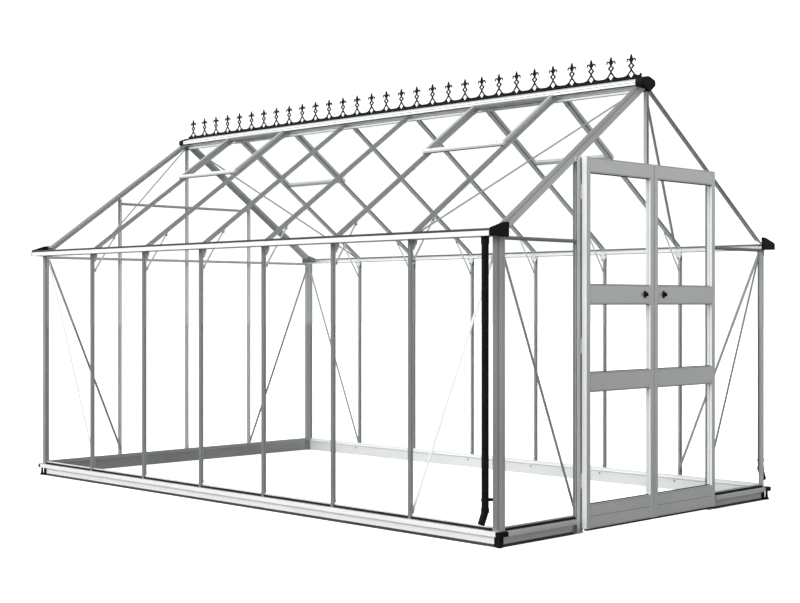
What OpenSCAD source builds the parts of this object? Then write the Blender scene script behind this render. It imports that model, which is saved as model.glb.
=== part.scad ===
// Glass greenhouse with an aluminium frame: four bays wide, seven bays long,
// a pair of hinged doors in the front gable (towards -Y), four closed roof
// vents, gutters with two downpipes and a cresting along the ridge.
// Origin: middle of the footprint, at ground level. +Z is up, the ridge runs
// along Y, and the front gable faces -Y.

/* [Plan] */
// Width over the bar faces of the two side walls
width = 2568; // [2540:2:2600]
// Length over the bar faces of the two gables
length = 4402; // [4396:2:4420]
// Spacing of the glazing bars
pitch = 622; // [618:1:624]
// How far the gables' midpoint lies behind the middle of the footprint
y_mid = 27; // [20:1:34]

/* [Heights] */
// Height of the base rail under the sill
base_h = 80; // [72:1:88]
// Underside of the gutter and eaves beam
eave_z = 1582.5; // [1570:0.5:1596]
// Roof pitch in degrees
roof_pitch = 35.26; // [35:0.01:35.5]
// Height of the roof bars' outer face above the wall's outer face
roof_z = 1610; // [1606:1:1614]

/* [Sections] */
// Width of a glazing bar's outer face
bar_w = 22; // [18:1:26]
// Depth of a glazing bar, face to inner edge
bar_d = 27; // [24:1:27]
// Wall thickness of the extrusions
wall = 3; // [2:0.5:3]
// Thickness of the glass
glass_t = 3; // [3:0.5:4]
// Diameter of the downpipes
pipe_d = 38; // [34:1:42]

/* [Doors] */
// Width of one door leaf
leaf_w = 619; // [614:1:619]
// Height of the door leaves' top edge
leaf_top = 2030; // [2022:1:2032]
// Thickness of a leaf
leaf_t = 34.5; // [30:0.5:35]
// Width of the stiles
stile_w = 33; // [28:1:38]

/* [Cresting] */
// Number of finials along the ridge
finials = 30; // [20:1:31]
// Spacing of the finials
finial_pitch = 144.45; // [143:0.05:145]

/* [Hidden] */

hw = width / 2;
yf = y_mid - length / 2;
yr = y_mid + length / 2;
sill_h = base_h + 20.5;
th = roof_pitch;
kx = tan(th);
ct = cos(th);
st = sin(th);
ridge_z = roof_z + kx * hw;
slope_len = hw / ct;
bars_y = [for (k = [-2.5:1:2.5]) y_mid + k * pitch];
post_leg = 46;     // corner post: end of the legs
post_cut = 40;     // front posts: where the chamfer meets the faces
raf_w = 54;        // gable rafter: width over its section
raf_h = 33;        // and depth below the roof plane
raf_drop = raf_h / ct;
ridge_foot = ridge_z - 66;
bar_drop = bar_d / ct;
door_x = pitch;    // half the width of the doorway
jamb_w = 33;
leaf_y0 = yf - 44; // outer face of the leaves
leaf_y1 = leaf_y0 + leaf_t;
leaf_z0 = 26;
pin_x = door_x + 4.5;
pin_y = yf - 9;
vent_s0 = 932;
vent_s1 = 1500;
glass_z0 = base_h + 6;
gy = 4;            // glass lies this far behind the outer faces
alu = [0.62, 0.63, 0.63];
alu_light = [0.85, 0.86, 0.86];
black = [0.06, 0.06, 0.06];
clear = [0.86, 0.94, 0.93, 0.35];

// ---- placing helpers ----

// Children drawn with x = distance in from the wall face, z = height, and
// y along the building, put on the left wall; mirrored for the right one.
module left_wall() { translate([-hw, 0, 0]) children(); }
module right_wall() { mirror([1, 0, 0]) left_wall() children(); }
module both_sides() { left_wall() children(); right_wall() children(); }

// Children drawn with x = distance up the slope from the eaves line,
// y along the building and z = height over the roof bars' outer face.
module left_slope() { translate([-hw, 0, roof_z]) rotate([0, -th, 0]) children(); }
module right_slope() { mirror([1, 0, 0]) left_slope() children(); }

// A profile drawn as [inward, height], pushed along Y from y0 to y1.
module along_y(y0, y1, pts) {
    translate([0, y1, 0]) rotate([90, 0, 0]) linear_extrude(y1 - y0) polygon(pts);
}
// A profile drawn as [along Y, height], pushed along X from x0 to x1.
module along_x(x0, x1, pts) {
    translate([x0, 0, 0]) rotate([90, 0, 90]) linear_extrude(x1 - x0) polygon(pts);
}

// ---- base ----

// Base rail section: web and bottom flange.
function base_web_pts(w) = [[14, 0], [-4, 0], [-4, w], [14, w], [14, base_h - w / 2],
    [14 + w, base_h - w / 2], [14 + w, 0]];
// Top flange with a lip that turns down.
function base_top_pts(w) = [[32, base_h], [32, base_h - w], [-20 + w, base_h - w],
    [-20 + w, base_h - 25], [-20, base_h - 25], [-20, base_h]];
// Upstand that keeps the foot of the glass.
function base_sill_pts(w) = [[14, base_h - w / 2], [14, sill_h], [14 + w, sill_h],
    [14 + w, base_h - w / 2]];
function to_front(pts) = [for (p = pts) [yf + p[0], p[1]]];
function to_rear(pts) = [for (p = pts) [yr - p[0], p[1]]];

module base_side() {
    along_y(yf + 41.3, yr - 41.3, base_web_pts(wall));
    along_y(yf + 10, yr - 10, base_top_pts(wall));
    along_y(yf + 50, yr - 50, base_sill_pts(wall));
}
module base_left() {
    color(alu_light) left_wall() base_side();
}
module base_right() {
    color(alu_light) right_wall() base_side();
}
module base_front() {
    x1 = -door_x - jamb_w - 13;
    color(alu) for (m = [0, 1]) mirror([m, 0, 0]) {
        along_x(-hw + 49, x1, to_front(base_web_pts(wall)));
        along_x(-hw + 49, x1, to_front(base_top_pts(wall)));
        along_x(-hw + 50, x1, to_front(base_sill_pts(wall)));
    }
}
module base_rear() {
    color(alu) {
        along_x(-hw + 49, hw - 49, to_rear(base_web_pts(wall)));
        along_x(-hw + 49, hw - 49, to_rear(base_top_pts(wall)));
        along_x(-hw + 50, hw - 50, to_rear(base_sill_pts(wall)));
    }
}

// Moulded corner: an angle between the webs, a foot, and a cover with lips
// that carries the rails' top flanges round the corner.
module base_corner() {
    w = wall;
    linear_extrude(base_h - w - 0.3)
        polygon([[13, 13], [48.7, 13], [48.7, 26], [26, 26], [26, 41], [13, 41]]);
    linear_extrude(w)
        polygon([[-4, -4], [48.7, -4], [48.7, 14], [14, 14], [14, 41], [-4, 41]]);
    linear_extrude(base_h - w - 0.3)
        polygon([[-19, -16], [-16, -19], [9.5, 6.5], [15, 14], [14, 15], [6.5, 9.5]]);
    linear_extrude(base_h - w / 2)
        polygon([[-19, -16], [-16, -19], [9, 6], [9, 9], [6, 9]]);
    translate([0, 0, base_h - w]) linear_extrude(w)
        polygon([[-20, -20], [48.7, -20], [48.7, 32], [32.3, 32], [32.3, 9.7], [-20, 9.7]]);
    translate([0, 0, base_h - 25]) linear_extrude(25)
        polygon([[-20, -20], [48.7, -20], [48.7, -20 + w], [-20 + w, -20 + w],
                 [-20 + w, 9.7], [-20, 9.7]]);
}
module base_corners() {
    color(black) for (mx = [0, 1]) mirror([mx, 0, 0]) {
        translate([-hw, yf, 0]) base_corner();
        translate([-hw, yr, 0]) mirror([0, 1, 0]) base_corner();
    }
}

// ---- upright frame ----

function post_pts(a, b) = [[0, a], [a, 0], [b, 0], [b, b / 2], [b / 2, b], [0, b]];

// Hollow corner post, its outer corner cut back by c.
module corner_post(c) {
    translate([0, 0, base_h + 0.3]) linear_extrude(eave_z - base_h - 0.6) difference() {
        polygon(post_pts(c, post_leg));
        polygon([[3, c + 2.2], [c + 2.2, 3], [43, 3], [43, 21.8], [21.8, 43], [3, 43]]);
    }
}
module corner_posts() {
    color(alu) for (mx = [0, 1]) mirror([mx, 0, 0]) {
        translate([-hw, yf, 0]) corner_post(post_cut);
        translate([-hw, yr, 0]) mirror([0, 1, 0]) corner_post(14);
    }
}

// T-bar section, face at 0, stem inwards (+x), centred on y = 0.
function tee(w, d) = [[0, -w / 2], [wall, -w / 2], [wall, -wall / 2], [d, -wall / 2],
                      [d, wall / 2], [wall, wall / 2], [wall, w / 2], [0, w / 2]];

// The stem is cut back at the foot, to clear the base rail's upstand.
module wall_bar(y) {
    translate([0, y, base_h + 0.3]) linear_extrude(22) polygon(tee(bar_w, 13.5));
    translate([0, y, sill_h + 0.3]) linear_extrude(eave_z - sill_h - 0.6)
        polygon(tee(bar_w, bar_d));
}
module wall_bars_left() {
    color(alu) left_wall() for (y = bars_y) wall_bar(y);
}
module wall_bars_right() {
    color(alu) right_wall() for (y = bars_y) wall_bar(y);
}

// Upright bar of a gable. f is the gable's face, d = 1 in front, -1 behind.
module gable_bar(x, z0, z1, f, d) {
    translate([x, f, z0]) linear_extrude(z1 - z0)
        polygon([for (p = tee(bar_w, bar_d)) [p[1], d * p[0]]]);
}
// Underside of the gable rafters at a distance from the middle.
function raf_under(x) = roof_z + kx * (hw - x) - raf_drop;
function bar_under(x) = roof_z + kx * (hw - x) - bar_drop;

module door_jambs() {
    color(alu_light) for (m = [0, 1]) mirror([m, 0, 0]) {
        linear_extrude(leaf_top - 25.3) polygon([
            [-door_x - jamb_w, yf - 4], [-door_x, yf - 4], [-door_x, yf - 3],
            [-door_x + 18, yf - 3], [-door_x + 18, yf + 0.5], [-door_x, yf + 0.5],
            [-door_x, yf + 25], [-door_x - jamb_w, yf + 25]]);
    }
}

module door_header() {
    color(alu) translate([0, 0, leaf_top - 25]) linear_extrude(25) polygon([
        [-668, yf - 4], [668, yf - 4], [668, yf - 0.3], [540, yf - 0.3],
        [540, yf + 25], [-540, yf + 25], [-540, yf - 0.3], [-668, yf - 0.3]]);
}

module gable_bars_front() {
    color(alu) {
        // middle bar from the header to the ridge
        gable_bar(0, leaf_top, ridge_foot - 0.5, yf, 1);
        // eaves rails from the corner posts to the jambs
        for (m = [0, 1]) mirror([m, 0, 0])
            along_x(-hw + 48, -door_x - jamb_w - 0.5,
                [for (p = tee(20, bar_d)) [yf + p[0], eave_z - 7 + p[1]]]);
    }
}

module gable_bars_rear() {
    z1 = ridge_foot - 0.5;
    z2 = raf_under(pitch + bar_w / 2) - 1;
    color(alu) for (b = [[0, z1], [-pitch, z2], [pitch, z2]]) {
        gable_bar(b[0], sill_h + 0.3, b[1], yr, -1);
        translate([b[0], yr, base_h + 0.3]) linear_extrude(22)
            polygon([for (p = tee(bar_w, 13.5)) [p[1], -p[0]]]);
    }
}
module rail_rear(x0, x1, z) {
    along_x(x0, x1, [for (p = tee(20, bar_d)) [yr - p[0], z + p[1]]]);
}
module gable_rails_rear() {
    g = bar_w / 2;
    color(alu) for (m = [0, 1]) mirror([m, 0, 0]) {
        rail_rear(-hw + 48, -pitch - g, eave_z - 7);
        rail_rear(-pitch + g, -g, eave_z - 7);
        rail_rear(-pitch + g + 1, -g, 1996);
    }
}

// ---- eaves, gutters, pipes ----

// Gutter and eaves beam in one section: outer lip and floor.
function gutter_pts(w) = [
    [-80, eave_z], [30, eave_z], [30, eave_z + w], [-80 + w, eave_z + w],
    [-80 + w, eave_z + 39], [-80, eave_z + 39]];
module gutter() {
    difference() {
        along_y(yf, yr, gutter_pts(wall));
        // rainwater outlet over the downpipe
        translate([-34, yf + 66, eave_z - 5]) cylinder(d = pipe_d - 6, h = wall + 10);
    }
}
module gutter_left() {
    color(alu_light) left_wall() gutter();
}
module gutter_right() {
    color(alu_light) right_wall() gutter();
}

// End plates of the gutters and of the ridge.
module gutter_cap_shape() {
    polygon([[-80, eave_z], [67, eave_z - 2], [67, eave_z + 76], [28, eave_z + 74],
             [-78, eave_z + 41]]);
}
module ridge_cap_shape() {
    polygon([[-12, ridge_foot], [12, ridge_foot], [60, ridge_z - 32],
             [62, ridge_z - 18], [58, ridge_z - 1], [0, ridge_z + 19],
             [-58, ridge_z - 1], [-62, ridge_z - 18], [-60, ridge_z - 32]]);
}
module end_plate(y0, y1) {
    translate([0, y1, 0]) rotate([90, 0, 0]) linear_extrude(y1 - y0) children();
}
module roof_end_caps() {
    color(black) {
        for (y = [yf - 12.3, yr + 0.3]) {
            both_sides() end_plate(y, y + 12) gutter_cap_shape();
            end_plate(y, y + 12) ridge_cap_shape();
        }
    }
}

// Downpipe under the gutter with a shoe that turns outwards and a clip arm.
module downpipe() {
    translate([-34, yf + 66, 0]) {
        difference() {
            union() {
                translate([0, 0, 186]) cylinder(d = pipe_d, h = eave_z - 186);
                translate([0, 0, 175]) cylinder(d = pipe_d + 5, h = 24);
                translate([0, 0, 181]) sphere(d = pipe_d + 2);
                translate([0, 0, 181]) rotate([0, 26, 0])
                    translate([0, 0, -70]) cylinder(d = pipe_d, h = 70);
            }
            translate([0, 0, 181]) cylinder(d = pipe_d - 6, h = 2000);
            translate([0, 0, 181]) sphere(d = pipe_d - 4);
            translate([0, 0, 181]) rotate([0, 26, 0])
                translate([0, 0, -82]) cylinder(d = pipe_d - 6, h = 84);
        }
        // clip arm to the corner post
        rotate([0, 0, -36.5]) translate([17, -3, 234]) cube([19, 6, 16]);
    }
}
module downpipes() {
    color(black) both_sides() downpipe();
}

// ---- roof ----

// Ridge cap with lips over the glass, and a box below it between the bars.
module ridge_bar() {
    w = wall;
    t = ridge_z + 13;
    e = ridge_z - 7;
    color(alu_light) difference() {
        along_y(yf, yr, [
            [0, t], [58, e], [60, e - 6], [60, ridge_z - 32], [60 - w, ridge_z - 32],
            [60 - w, e - w - 2], [12, t - w - 4], [12, ridge_foot], [-12, ridge_foot],
            [-12, t - w - 4], [-60 + w, e - w - 2], [-60 + w, ridge_z - 32],
            [-60, ridge_z - 32], [-60, e - 6], [-58, e]]);
        along_y(yf - 1, yr + 1, [
            [-12 + w, ridge_foot + w], [12 - w, ridge_foot + w], [12 - w, t - w - 4],
            [-12 + w, t - w - 4]]);
    }
}

// One finial of the cresting, drawn flat: y across, z up.
module finial_body() {
    half = [[40, 22], [28, 29], [20, 38], [12, 48], [4, 60], [13, 70], [21, 80], [13, 90],
            [5, 97], [10, 105], [17, 114], [22, 116], [27, 110], [28, 104], [31, 104],
            [31, 113], [26, 122], [21, 124], [15, 120], [10, 113], [9, 125]];
    n = len(half);
    polygon(concat([[-40, 10], [40, 10]], half, [[0, 148]],
        [for (i = [0:n - 1]) [-half[n - 1 - i][0], half[n - 1 - i][1]]]));
}
module finial_holes() {
    polygon([[-18, 29], [0, 9], [18, 29], [0, 50]]);
    polygon([[-10, 80], [0, 67], [10, 80], [0, 92]]);
}
module ridge_cresting() {
    y0 = y_mid + 10 - (finials - 1) / 2 * finial_pitch;
    color(black) translate([-3, 0, ridge_z + 13]) rotate([90, 0, 90])
        linear_extrude(6) difference() {
            union() {
                translate([y0 - 72, 0])
                    square([(finials - 1) * finial_pitch + 132, 22]);
                for (i = [0:finials - 1])
                    translate([y0 + i * finial_pitch, 0]) finial_body();
            }
            for (i = [0:finials - 1])
                translate([y0 + i * finial_pitch, 0]) finial_holes();
        }
}

// Rafters at the ends of each slope. In front a broad slanted strip carries
// the corner posts' chamfer up the gable; the rear ones are hollow sections.
module gable_rafter() {
    s0 = 58;
    s1 = (hw - 14 - raf_h * st) / ct;
    translate([s0, 0, 0]) rotate([90, 0, 90]) linear_extrude(s1 - s0) children();
}
module rafter_front() {
    polygon([for (p = [[0, -raf_h], [0, -28], [47, 0], [raf_w, 0], [raf_w, -6], [49, -6],
                       [6, -raf_h]]) [yf + p[0], p[1]]]);
}
module rafter_rear() {
    difference() {
        polygon([for (p = [[0, 0], [raf_w, 0], [raf_w, -21], [32, -raf_h], [0, -raf_h]])
            [yr - p[0], p[1]]]);
        polygon([for (p = [[3, -3], [51, -3], [51, -19], [31, -30], [3, -30]])
            [yr - p[0], p[1]]]);
    }
}
module gable_rafters() {
    color(alu) {
        left_slope() gable_rafter() rafter_front();
        right_slope() gable_rafter() rafter_front();
        left_slope() gable_rafter() rafter_rear();
        right_slope() gable_rafter() rafter_rear();
    }
}

module roof_bar(y) {
    s0 = 20;
    s1 = (hw - 14 - bar_d * st) / ct;
    translate([s0, y, 0]) rotate([90, 0, 90]) linear_extrude(s1 - s0)
        polygon([for (p = tee(bar_w, bar_d)) [p[1], -p[0]]]);
}
module roof_bars_left() {
    color(alu) left_slope() for (y = bars_y) roof_bar(y);
}
module roof_bars_right() {
    color(alu) right_slope() for (y = bars_y) roof_bar(y);
}

// Roof vent: a rectangular frame lying on two roof bars, hinged at the ridge.
vent_bays = [0, 4];
module vent_frame(y) {
    difference() {
        translate([vent_s0, y - bar_w / 2, 0.5])
            cube([vent_s1 - vent_s0, pitch + bar_w, 20]);
        translate([vent_s0 + 30, y + bar_w / 2, -5])
            cube([vent_s1 - vent_s0 - 52, pitch - bar_w, 40]);
    }
}
module roof_vents_left() {
    color(alu_light) left_slope() for (k = vent_bays) vent_frame(bars_y[k]);
}
module roof_vents_right() {
    color(alu_light) right_slope() for (k = vent_bays) vent_frame(bars_y[k]);
}
module vent_pane(y) {
    translate([vent_s0 + 30, y + bar_w / 2, 9])
        cube([vent_s1 - vent_s0 - 52, pitch - bar_w, glass_t]);
}
module vent_glass() {
    color(clear) {
        left_slope() for (k = vent_bays) vent_pane(bars_y[k]);
        right_slope() for (k = vent_bays) vent_pane(bars_y[k]);
    }
}

// ---- braces ----

// Flat strap in the plane of its profile, from [u0, v0] to [u1, v1], with
// square-cut ends and half height h.
function strap(u0, v0, u1, v1, h) = [[u0, v0 - h], [u1, v1 - h], [u1, v1 + h], [u0, v0 + h]];

module wall_braces() {
    z0 = sill_h + 22;
    z1 = eave_z - 40;
    h = 22;
    color(alu) {
        both_sides() {
            along_x(31, 34, strap(yf + post_leg, z1, bars_y[0], z0, h));
            along_x(31, 34, strap(yr - post_leg, z1, bars_y[5], z0, h));
        }
        for (m = [0, 1]) mirror([m, 0, 0]) {
            along_y(yf + 31, yf + 34, strap(-hw + post_leg, z1, -door_x - 8, z0, h));
            along_y(yr - 34, yr - 31, strap(-hw + post_leg, z1, -pitch, z0, h));
        }
    }
}

module roof_brace(y0, y1) {
    translate([0, 0, -bar_d - 4]) linear_extrude(3)
        polygon([[1466, y0], [1510, y0], [89, y1], [45, y1]]);
}
module roof_braces() {
    color(alu) {
        left_slope() {
            roof_brace(yf + raf_w + 1, bars_y[0]);
            roof_brace(yr - raf_w - 1, bars_y[5]);
        }
        right_slope() {
            roof_brace(yf + raf_w + 1, bars_y[0]);
            roof_brace(yr - raf_w - 1, bars_y[5]);
        }
    }
}

// Short struts from each wall bar to the roof bar above it.
module knee_braces() {
    a = 188;
    b = 208;
    color(alu) both_sides() for (y = bars_y)
        along_y(y - 2, y + 2, [[bar_d, 1450], [b, roof_z + kx * b - bar_drop - 0.2],
                               [a, roof_z + kx * a - bar_drop - 0.2], [bar_d, 1474]]);
}

// ---- glass ----

gap = wall / 2 + 1;    // clearance from a bar's stem
function bay_lo(k) = k == 0 ? yf + post_leg + 1 : bars_y[k - 1] + gap;
function bay_hi(k) = k == 6 ? yr - post_leg - 1 : bars_y[k] - gap;

module side_panes() {
    for (k = [0:6]) translate([gy, bay_lo(k), glass_z0])
        cube([glass_t, bay_hi(k) - bay_lo(k), eave_z - 3 - glass_z0]);
}
module wall_glass_left() { color(clear) left_wall() side_panes(); }
module wall_glass_right() { color(clear) right_wall() side_panes(); }

module pane_y(y, x0, x1, z0, z1) {
    translate([x0, y, z0]) cube([x1 - x0, glass_t, z1 - z0]);
}
rail_lo = eave_z - 9.5;
rail_hi = eave_z - 4.5;
module wall_glass_front() {
    color(clear) for (m = [0, 1]) mirror([m, 0, 0])
        pane_y(yf + gy, -hw + post_leg + 1, -door_x - jamb_w - 1, glass_z0, rail_lo);
}
module wall_glass_rear() {
    y = yr - gy - glass_t;
    color(clear) for (m = [0, 1]) mirror([m, 0, 0]) {
        pane_y(y, -hw + post_leg + 1, -pitch - gap, glass_z0, rail_lo);
        pane_y(y, -pitch + gap, -gap, glass_z0, rail_lo);
    }
}
// A pane under a rafter: flat foot at z0, from x0 to x1 (negative side).
module raked_pane(y, x0, x1, z0) {
    t0 = (z0 + 3 - roof_z + raf_drop + 1) / kx;
    xa = max(x0, -hw + t0);
    // under the ridge the top is cut level
    zc = ridge_foot - 0.5;
    xc = (zc + 1 - roof_z + raf_drop) / kx - hw;
    top = x1 > xc ? [[x1, zc], [xc, zc]] : [[x1, raf_under(-x1) - 1]];
    translate([0, y + glass_t, 0]) rotate([90, 0, 0]) linear_extrude(glass_t)
        polygon(concat([[xa, z0], [x1, z0]], top, [[xa, raf_under(-xa) - 1]]));
}
module gable_glass_front() {
    color(clear) for (m = [0, 1]) mirror([m, 0, 0]) {
        raked_pane(yf + gy, -hw + 47, -door_x - jamb_w - 1, rail_hi);
        raked_pane(yf + gy, -hw, -gap, leaf_top + 1);
    }
}
module gable_glass_rear() {
    y = yr - gy - glass_t;
    color(clear) for (m = [0, 1]) mirror([m, 0, 0]) {
        raked_pane(y, -hw + 47, -pitch - gap, rail_hi);
        pane_y(y, -pitch + gap, -gap, rail_hi, 1996 - gap);
        raked_pane(y, -pitch + gap, -gap, 1996 + gap);
    }
}

module roof_panes() {
    for (k = [0:6]) {
        y0 = k == 0 ? yf + raf_w + 1 : bars_y[k - 1] + gap;
        y1 = k == 6 ? yr - raf_w - 1 : bars_y[k] - gap;
        s1 = (k == 1 || k == 5) ? vent_s0 + 26 : 1512;
        translate([-6, y0, -gy - glass_t]) cube([s1 + 6, y1 - y0, glass_t]);
    }
}
module roof_glass_left() { color(clear) left_slope() roof_panes(); }
module roof_glass_right() { color(clear) right_slope() roof_panes(); }

// ---- doors ----

// One leaf is drawn on the left side, from -door_x to the meeting line, and
// mirrored for the right.
lx0 = -door_x;
lx1 = -door_x + leaf_w;
module leaf_box(x0, x1, z0, z1) {
    translate([x0, leaf_y0, z0]) cube([x1 - x0, leaf_t, z1 - z0]);
}
// Hinges: a fixed knuckle with its plate on the jamb, and above it the
// leaf's knuckle on the stile.
hinge_z = [242, 972, 1802];
module hinge_fixed(z) {
    translate([-pin_x, pin_y, z]) cylinder(d = 8, h = 40);
    translate([-pin_x - 20, yf - 5.5, z]) cube([20, 1.5, 40]);
}
module hinge_moving(z) {
    translate([-pin_x, pin_y, z + 40.3]) cylinder(d = 8, h = 40);
    translate([-pin_x, pin_y - 4, z + 40.3]) cube([pin_x + lx0, 3, 40]);
}
module door_hinges() {
    color(alu_light) for (m = [0, 1]) mirror([m, 0, 0])
        for (z = hinge_z) hinge_fixed(z);
}
module leaf_stiles() {
    leaf_box(lx0, lx0 + stile_w, leaf_z0, leaf_top);
    leaf_box(lx1 - stile_w, lx1, leaf_z0, leaf_top);
    for (z = hinge_z) hinge_moving(z);
}
rails = [[leaf_z0, 156], [764, 868], [1237.5, 1343], [1947.5, leaf_top]];
module leaf_rails() {
    for (r = rails) leaf_box(lx0 + stile_w, lx1 - stile_w, r[0], r[1]);
    // rubber sweep under the leaf
    translate([lx0 + 2, leaf_y0 + 10, leaf_z0 - 11]) cube([leaf_w - 4, 12, 11]);
}
module leaf_glass() {
    for (i = [0:2]) translate([lx0 + stile_w, leaf_y0 + 16, rails[i][1]])
        cube([leaf_w - 2 * stile_w, glass_t, rails[i + 1][0] - rails[i][1]]);
}
module leaf_handle() {
    translate([-91, 0, 1292]) {
        translate([-12, leaf_y0 - 5, -22]) cube([24, 5, 44]);
        translate([0, leaf_y0 - 5, 0]) rotate([90, 0, 0]) cylinder(d = 13, h = 10);
        translate([0, leaf_y0 - 15, 0]) rotate([90, 0, 0]) cylinder(d = 22, h = 15);
    }
}
module door_left_stiles() { color(alu) leaf_stiles(); }
module door_left_rails() { color(alu) leaf_rails(); }
module door_left_glass() { color(clear) leaf_glass(); }
module door_left_handle() { color(black) leaf_handle(); }
module door_right_stiles() { color(alu) mirror([1, 0, 0]) leaf_stiles(); }
module door_right_rails() { color(alu) mirror([1, 0, 0]) leaf_rails(); }
module door_right_glass() { color(clear) mirror([1, 0, 0]) leaf_glass(); }
module door_right_handle() { color(black) mirror([1, 0, 0]) leaf_handle(); }

$fn = 32;
base_left();
base_right();
base_front();
base_rear();
base_corners();
corner_posts();
wall_bars_left();
wall_bars_right();
door_jambs();
door_header();
gable_bars_front();
gable_bars_rear();
gable_rails_rear();
gutter_left();
gutter_right();
roof_end_caps();
downpipes();
ridge_bar();
ridge_cresting();
gable_rafters();
roof_bars_left();
roof_bars_right();
roof_vents_left();
roof_vents_right();
vent_glass();
wall_braces();
roof_braces();
knee_braces();
wall_glass_left();
wall_glass_right();
wall_glass_front();
wall_glass_rear();
gable_glass_front();
gable_glass_rear();
roof_glass_left();
roof_glass_right();
door_hinges();
door_left_stiles();
door_left_rails();
door_left_glass();
door_left_handle();
door_right_stiles();
door_right_rails();
door_right_glass();
door_right_handle();
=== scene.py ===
import bpy, math, random
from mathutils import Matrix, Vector
from mathutils.geometry import tessellate_polygon


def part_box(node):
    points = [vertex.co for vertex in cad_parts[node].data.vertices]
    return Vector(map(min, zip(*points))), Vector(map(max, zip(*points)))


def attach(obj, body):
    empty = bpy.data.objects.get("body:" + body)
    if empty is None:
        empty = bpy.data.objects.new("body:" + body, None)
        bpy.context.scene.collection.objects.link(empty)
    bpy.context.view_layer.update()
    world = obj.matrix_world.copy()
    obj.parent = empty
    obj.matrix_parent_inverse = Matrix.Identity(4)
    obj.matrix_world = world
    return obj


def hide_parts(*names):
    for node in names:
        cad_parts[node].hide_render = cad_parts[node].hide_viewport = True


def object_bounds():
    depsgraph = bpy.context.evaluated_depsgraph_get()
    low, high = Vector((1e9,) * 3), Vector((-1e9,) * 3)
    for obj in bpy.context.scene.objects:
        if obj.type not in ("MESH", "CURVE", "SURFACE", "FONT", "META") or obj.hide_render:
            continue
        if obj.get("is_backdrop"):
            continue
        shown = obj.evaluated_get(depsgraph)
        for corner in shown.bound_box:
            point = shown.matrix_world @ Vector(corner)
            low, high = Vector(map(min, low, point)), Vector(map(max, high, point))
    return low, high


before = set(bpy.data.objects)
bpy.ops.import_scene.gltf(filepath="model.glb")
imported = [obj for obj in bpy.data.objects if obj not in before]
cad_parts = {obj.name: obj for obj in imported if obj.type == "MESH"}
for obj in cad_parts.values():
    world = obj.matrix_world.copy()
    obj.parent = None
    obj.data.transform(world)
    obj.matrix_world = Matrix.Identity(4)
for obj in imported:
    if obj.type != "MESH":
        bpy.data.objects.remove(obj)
BOX0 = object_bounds()
random.seed(7)

# ---------------------------------------------------------------- sizes (mm)
_lo, _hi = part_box("corner_posts")
HW = -_lo.x * 1000.0
YF = _lo.y * 1000.0
YR = _hi.y * 1000.0
YM = (YF + YR) / 2
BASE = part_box("base_left")[1].z * 1000.0 - 20.5
SILL = BASE + 20.5
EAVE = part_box("gutter_left")[0].z * 1000.0
ROOF = 1610.0
TH = math.radians(35.26)
KX, CT, ST = math.tan(TH), math.cos(TH), math.sin(TH)
RIDGE = ROOF + KX * HW
FOOT = RIDGE - 66
PITCH = 622.0
DX = 622.0
BARS = [YM + k * PITCH for k in (-2.5, -1.5, -0.5, 0.5, 1.5, 2.5)]
LEAF0 = YF - 44
LEAF1 = LEAF0 + 34.5
LTOP = 2030.0
PINX, PINY = DX + 4.5, YF - 9
RDROP = 33 / CT
BDROP = 27 / CT


def raf_under(x):
    return ROOF + KX * (HW - x) - RDROP


# ---------------------------------------------------------------- placing
def wall(sx):
    return lambda a, z, t: (sx * (HW - a), t, z)


def front(b, z, t):
    return (t, YF + b, z)


def rear(b, z, t):
    return (t, YR - b, z)


def wall_up(sx, y):
    # profile (inward a, along y), pushed up z
    return lambda a, b, z: (sx * (HW - a), y + b, z)


def slope_pt(sx, s, y, n):
    return (sx * (HW - s * CT + n * ST), y, ROOF + s * ST + n * CT)


def slope_along(sx, y):
    # profile (across y, height n), pushed up the slope
    return lambda b, n, s: slope_pt(sx, s, y + b, n)


def slope_flat(sx):
    # outline (s, y), thickness n
    return lambda s, y, n: slope_pt(sx, s, y, n)


# ---------------------------------------------------------------- meshes
class Piece:
    def __init__(self, name):
        self.name = name
        self.v, self.f, self.m, self.uv = [], [], [], []
        self.mats = []

    def mat(self, m):
        if m not in self.mats:
            self.mats.append(m)
        return self.mats.index(m)

    def add(self, co):
        self.v.append((co[0] * 0.001, co[1] * 0.001, co[2] * 0.001))
        return len(self.v) - 1

    def face(self, idx, m, uvs):
        self.f.append(tuple(idx))
        self.m.append(self.mat(m))
        self.uv.append(uvs)

    def build(self, body, replaces=(), smooth=32):
        me = bpy.data.meshes.new(self.name)
        me.from_pydata(self.v, [], self.f)
        for m in self.mats:
            me.materials.append(MAT[m])
        me.polygons.foreach_set("material_index", self.m)
        lay = me.uv_layers.new(name="UVMap")
        flat = []
        for u in self.uv:
            for p in u:
                flat += [p[0] * 0.001, p[1] * 0.001]
        lay.data.foreach_set("uv", flat)
        me.update()
        import bmesh
        bm = bmesh.new()
        bm.from_mesh(me)
        bmesh.ops.recalc_face_normals(bm, faces=bm.faces[:])
        bm.to_mesh(me)
        bm.free()
        for p in me.polygons:
            p.use_smooth = True
        me.set_sharp_from_angle(angle=math.radians(smooth))
        ob = bpy.data.objects.new(self.name, me)
        bpy.context.scene.collection.objects.link(ob)
        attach(ob, body)
        if replaces:
            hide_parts(*replaces)
        return ob


def area2(p):
    return sum(p[i][0] * p[(i + 1) % len(p)][1] - p[(i + 1) % len(p)][0] * p[i][1]
               for i in range(len(p)))


def ccw(p):
    return list(p) if area2(p) > 0 else list(reversed(p))


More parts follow.
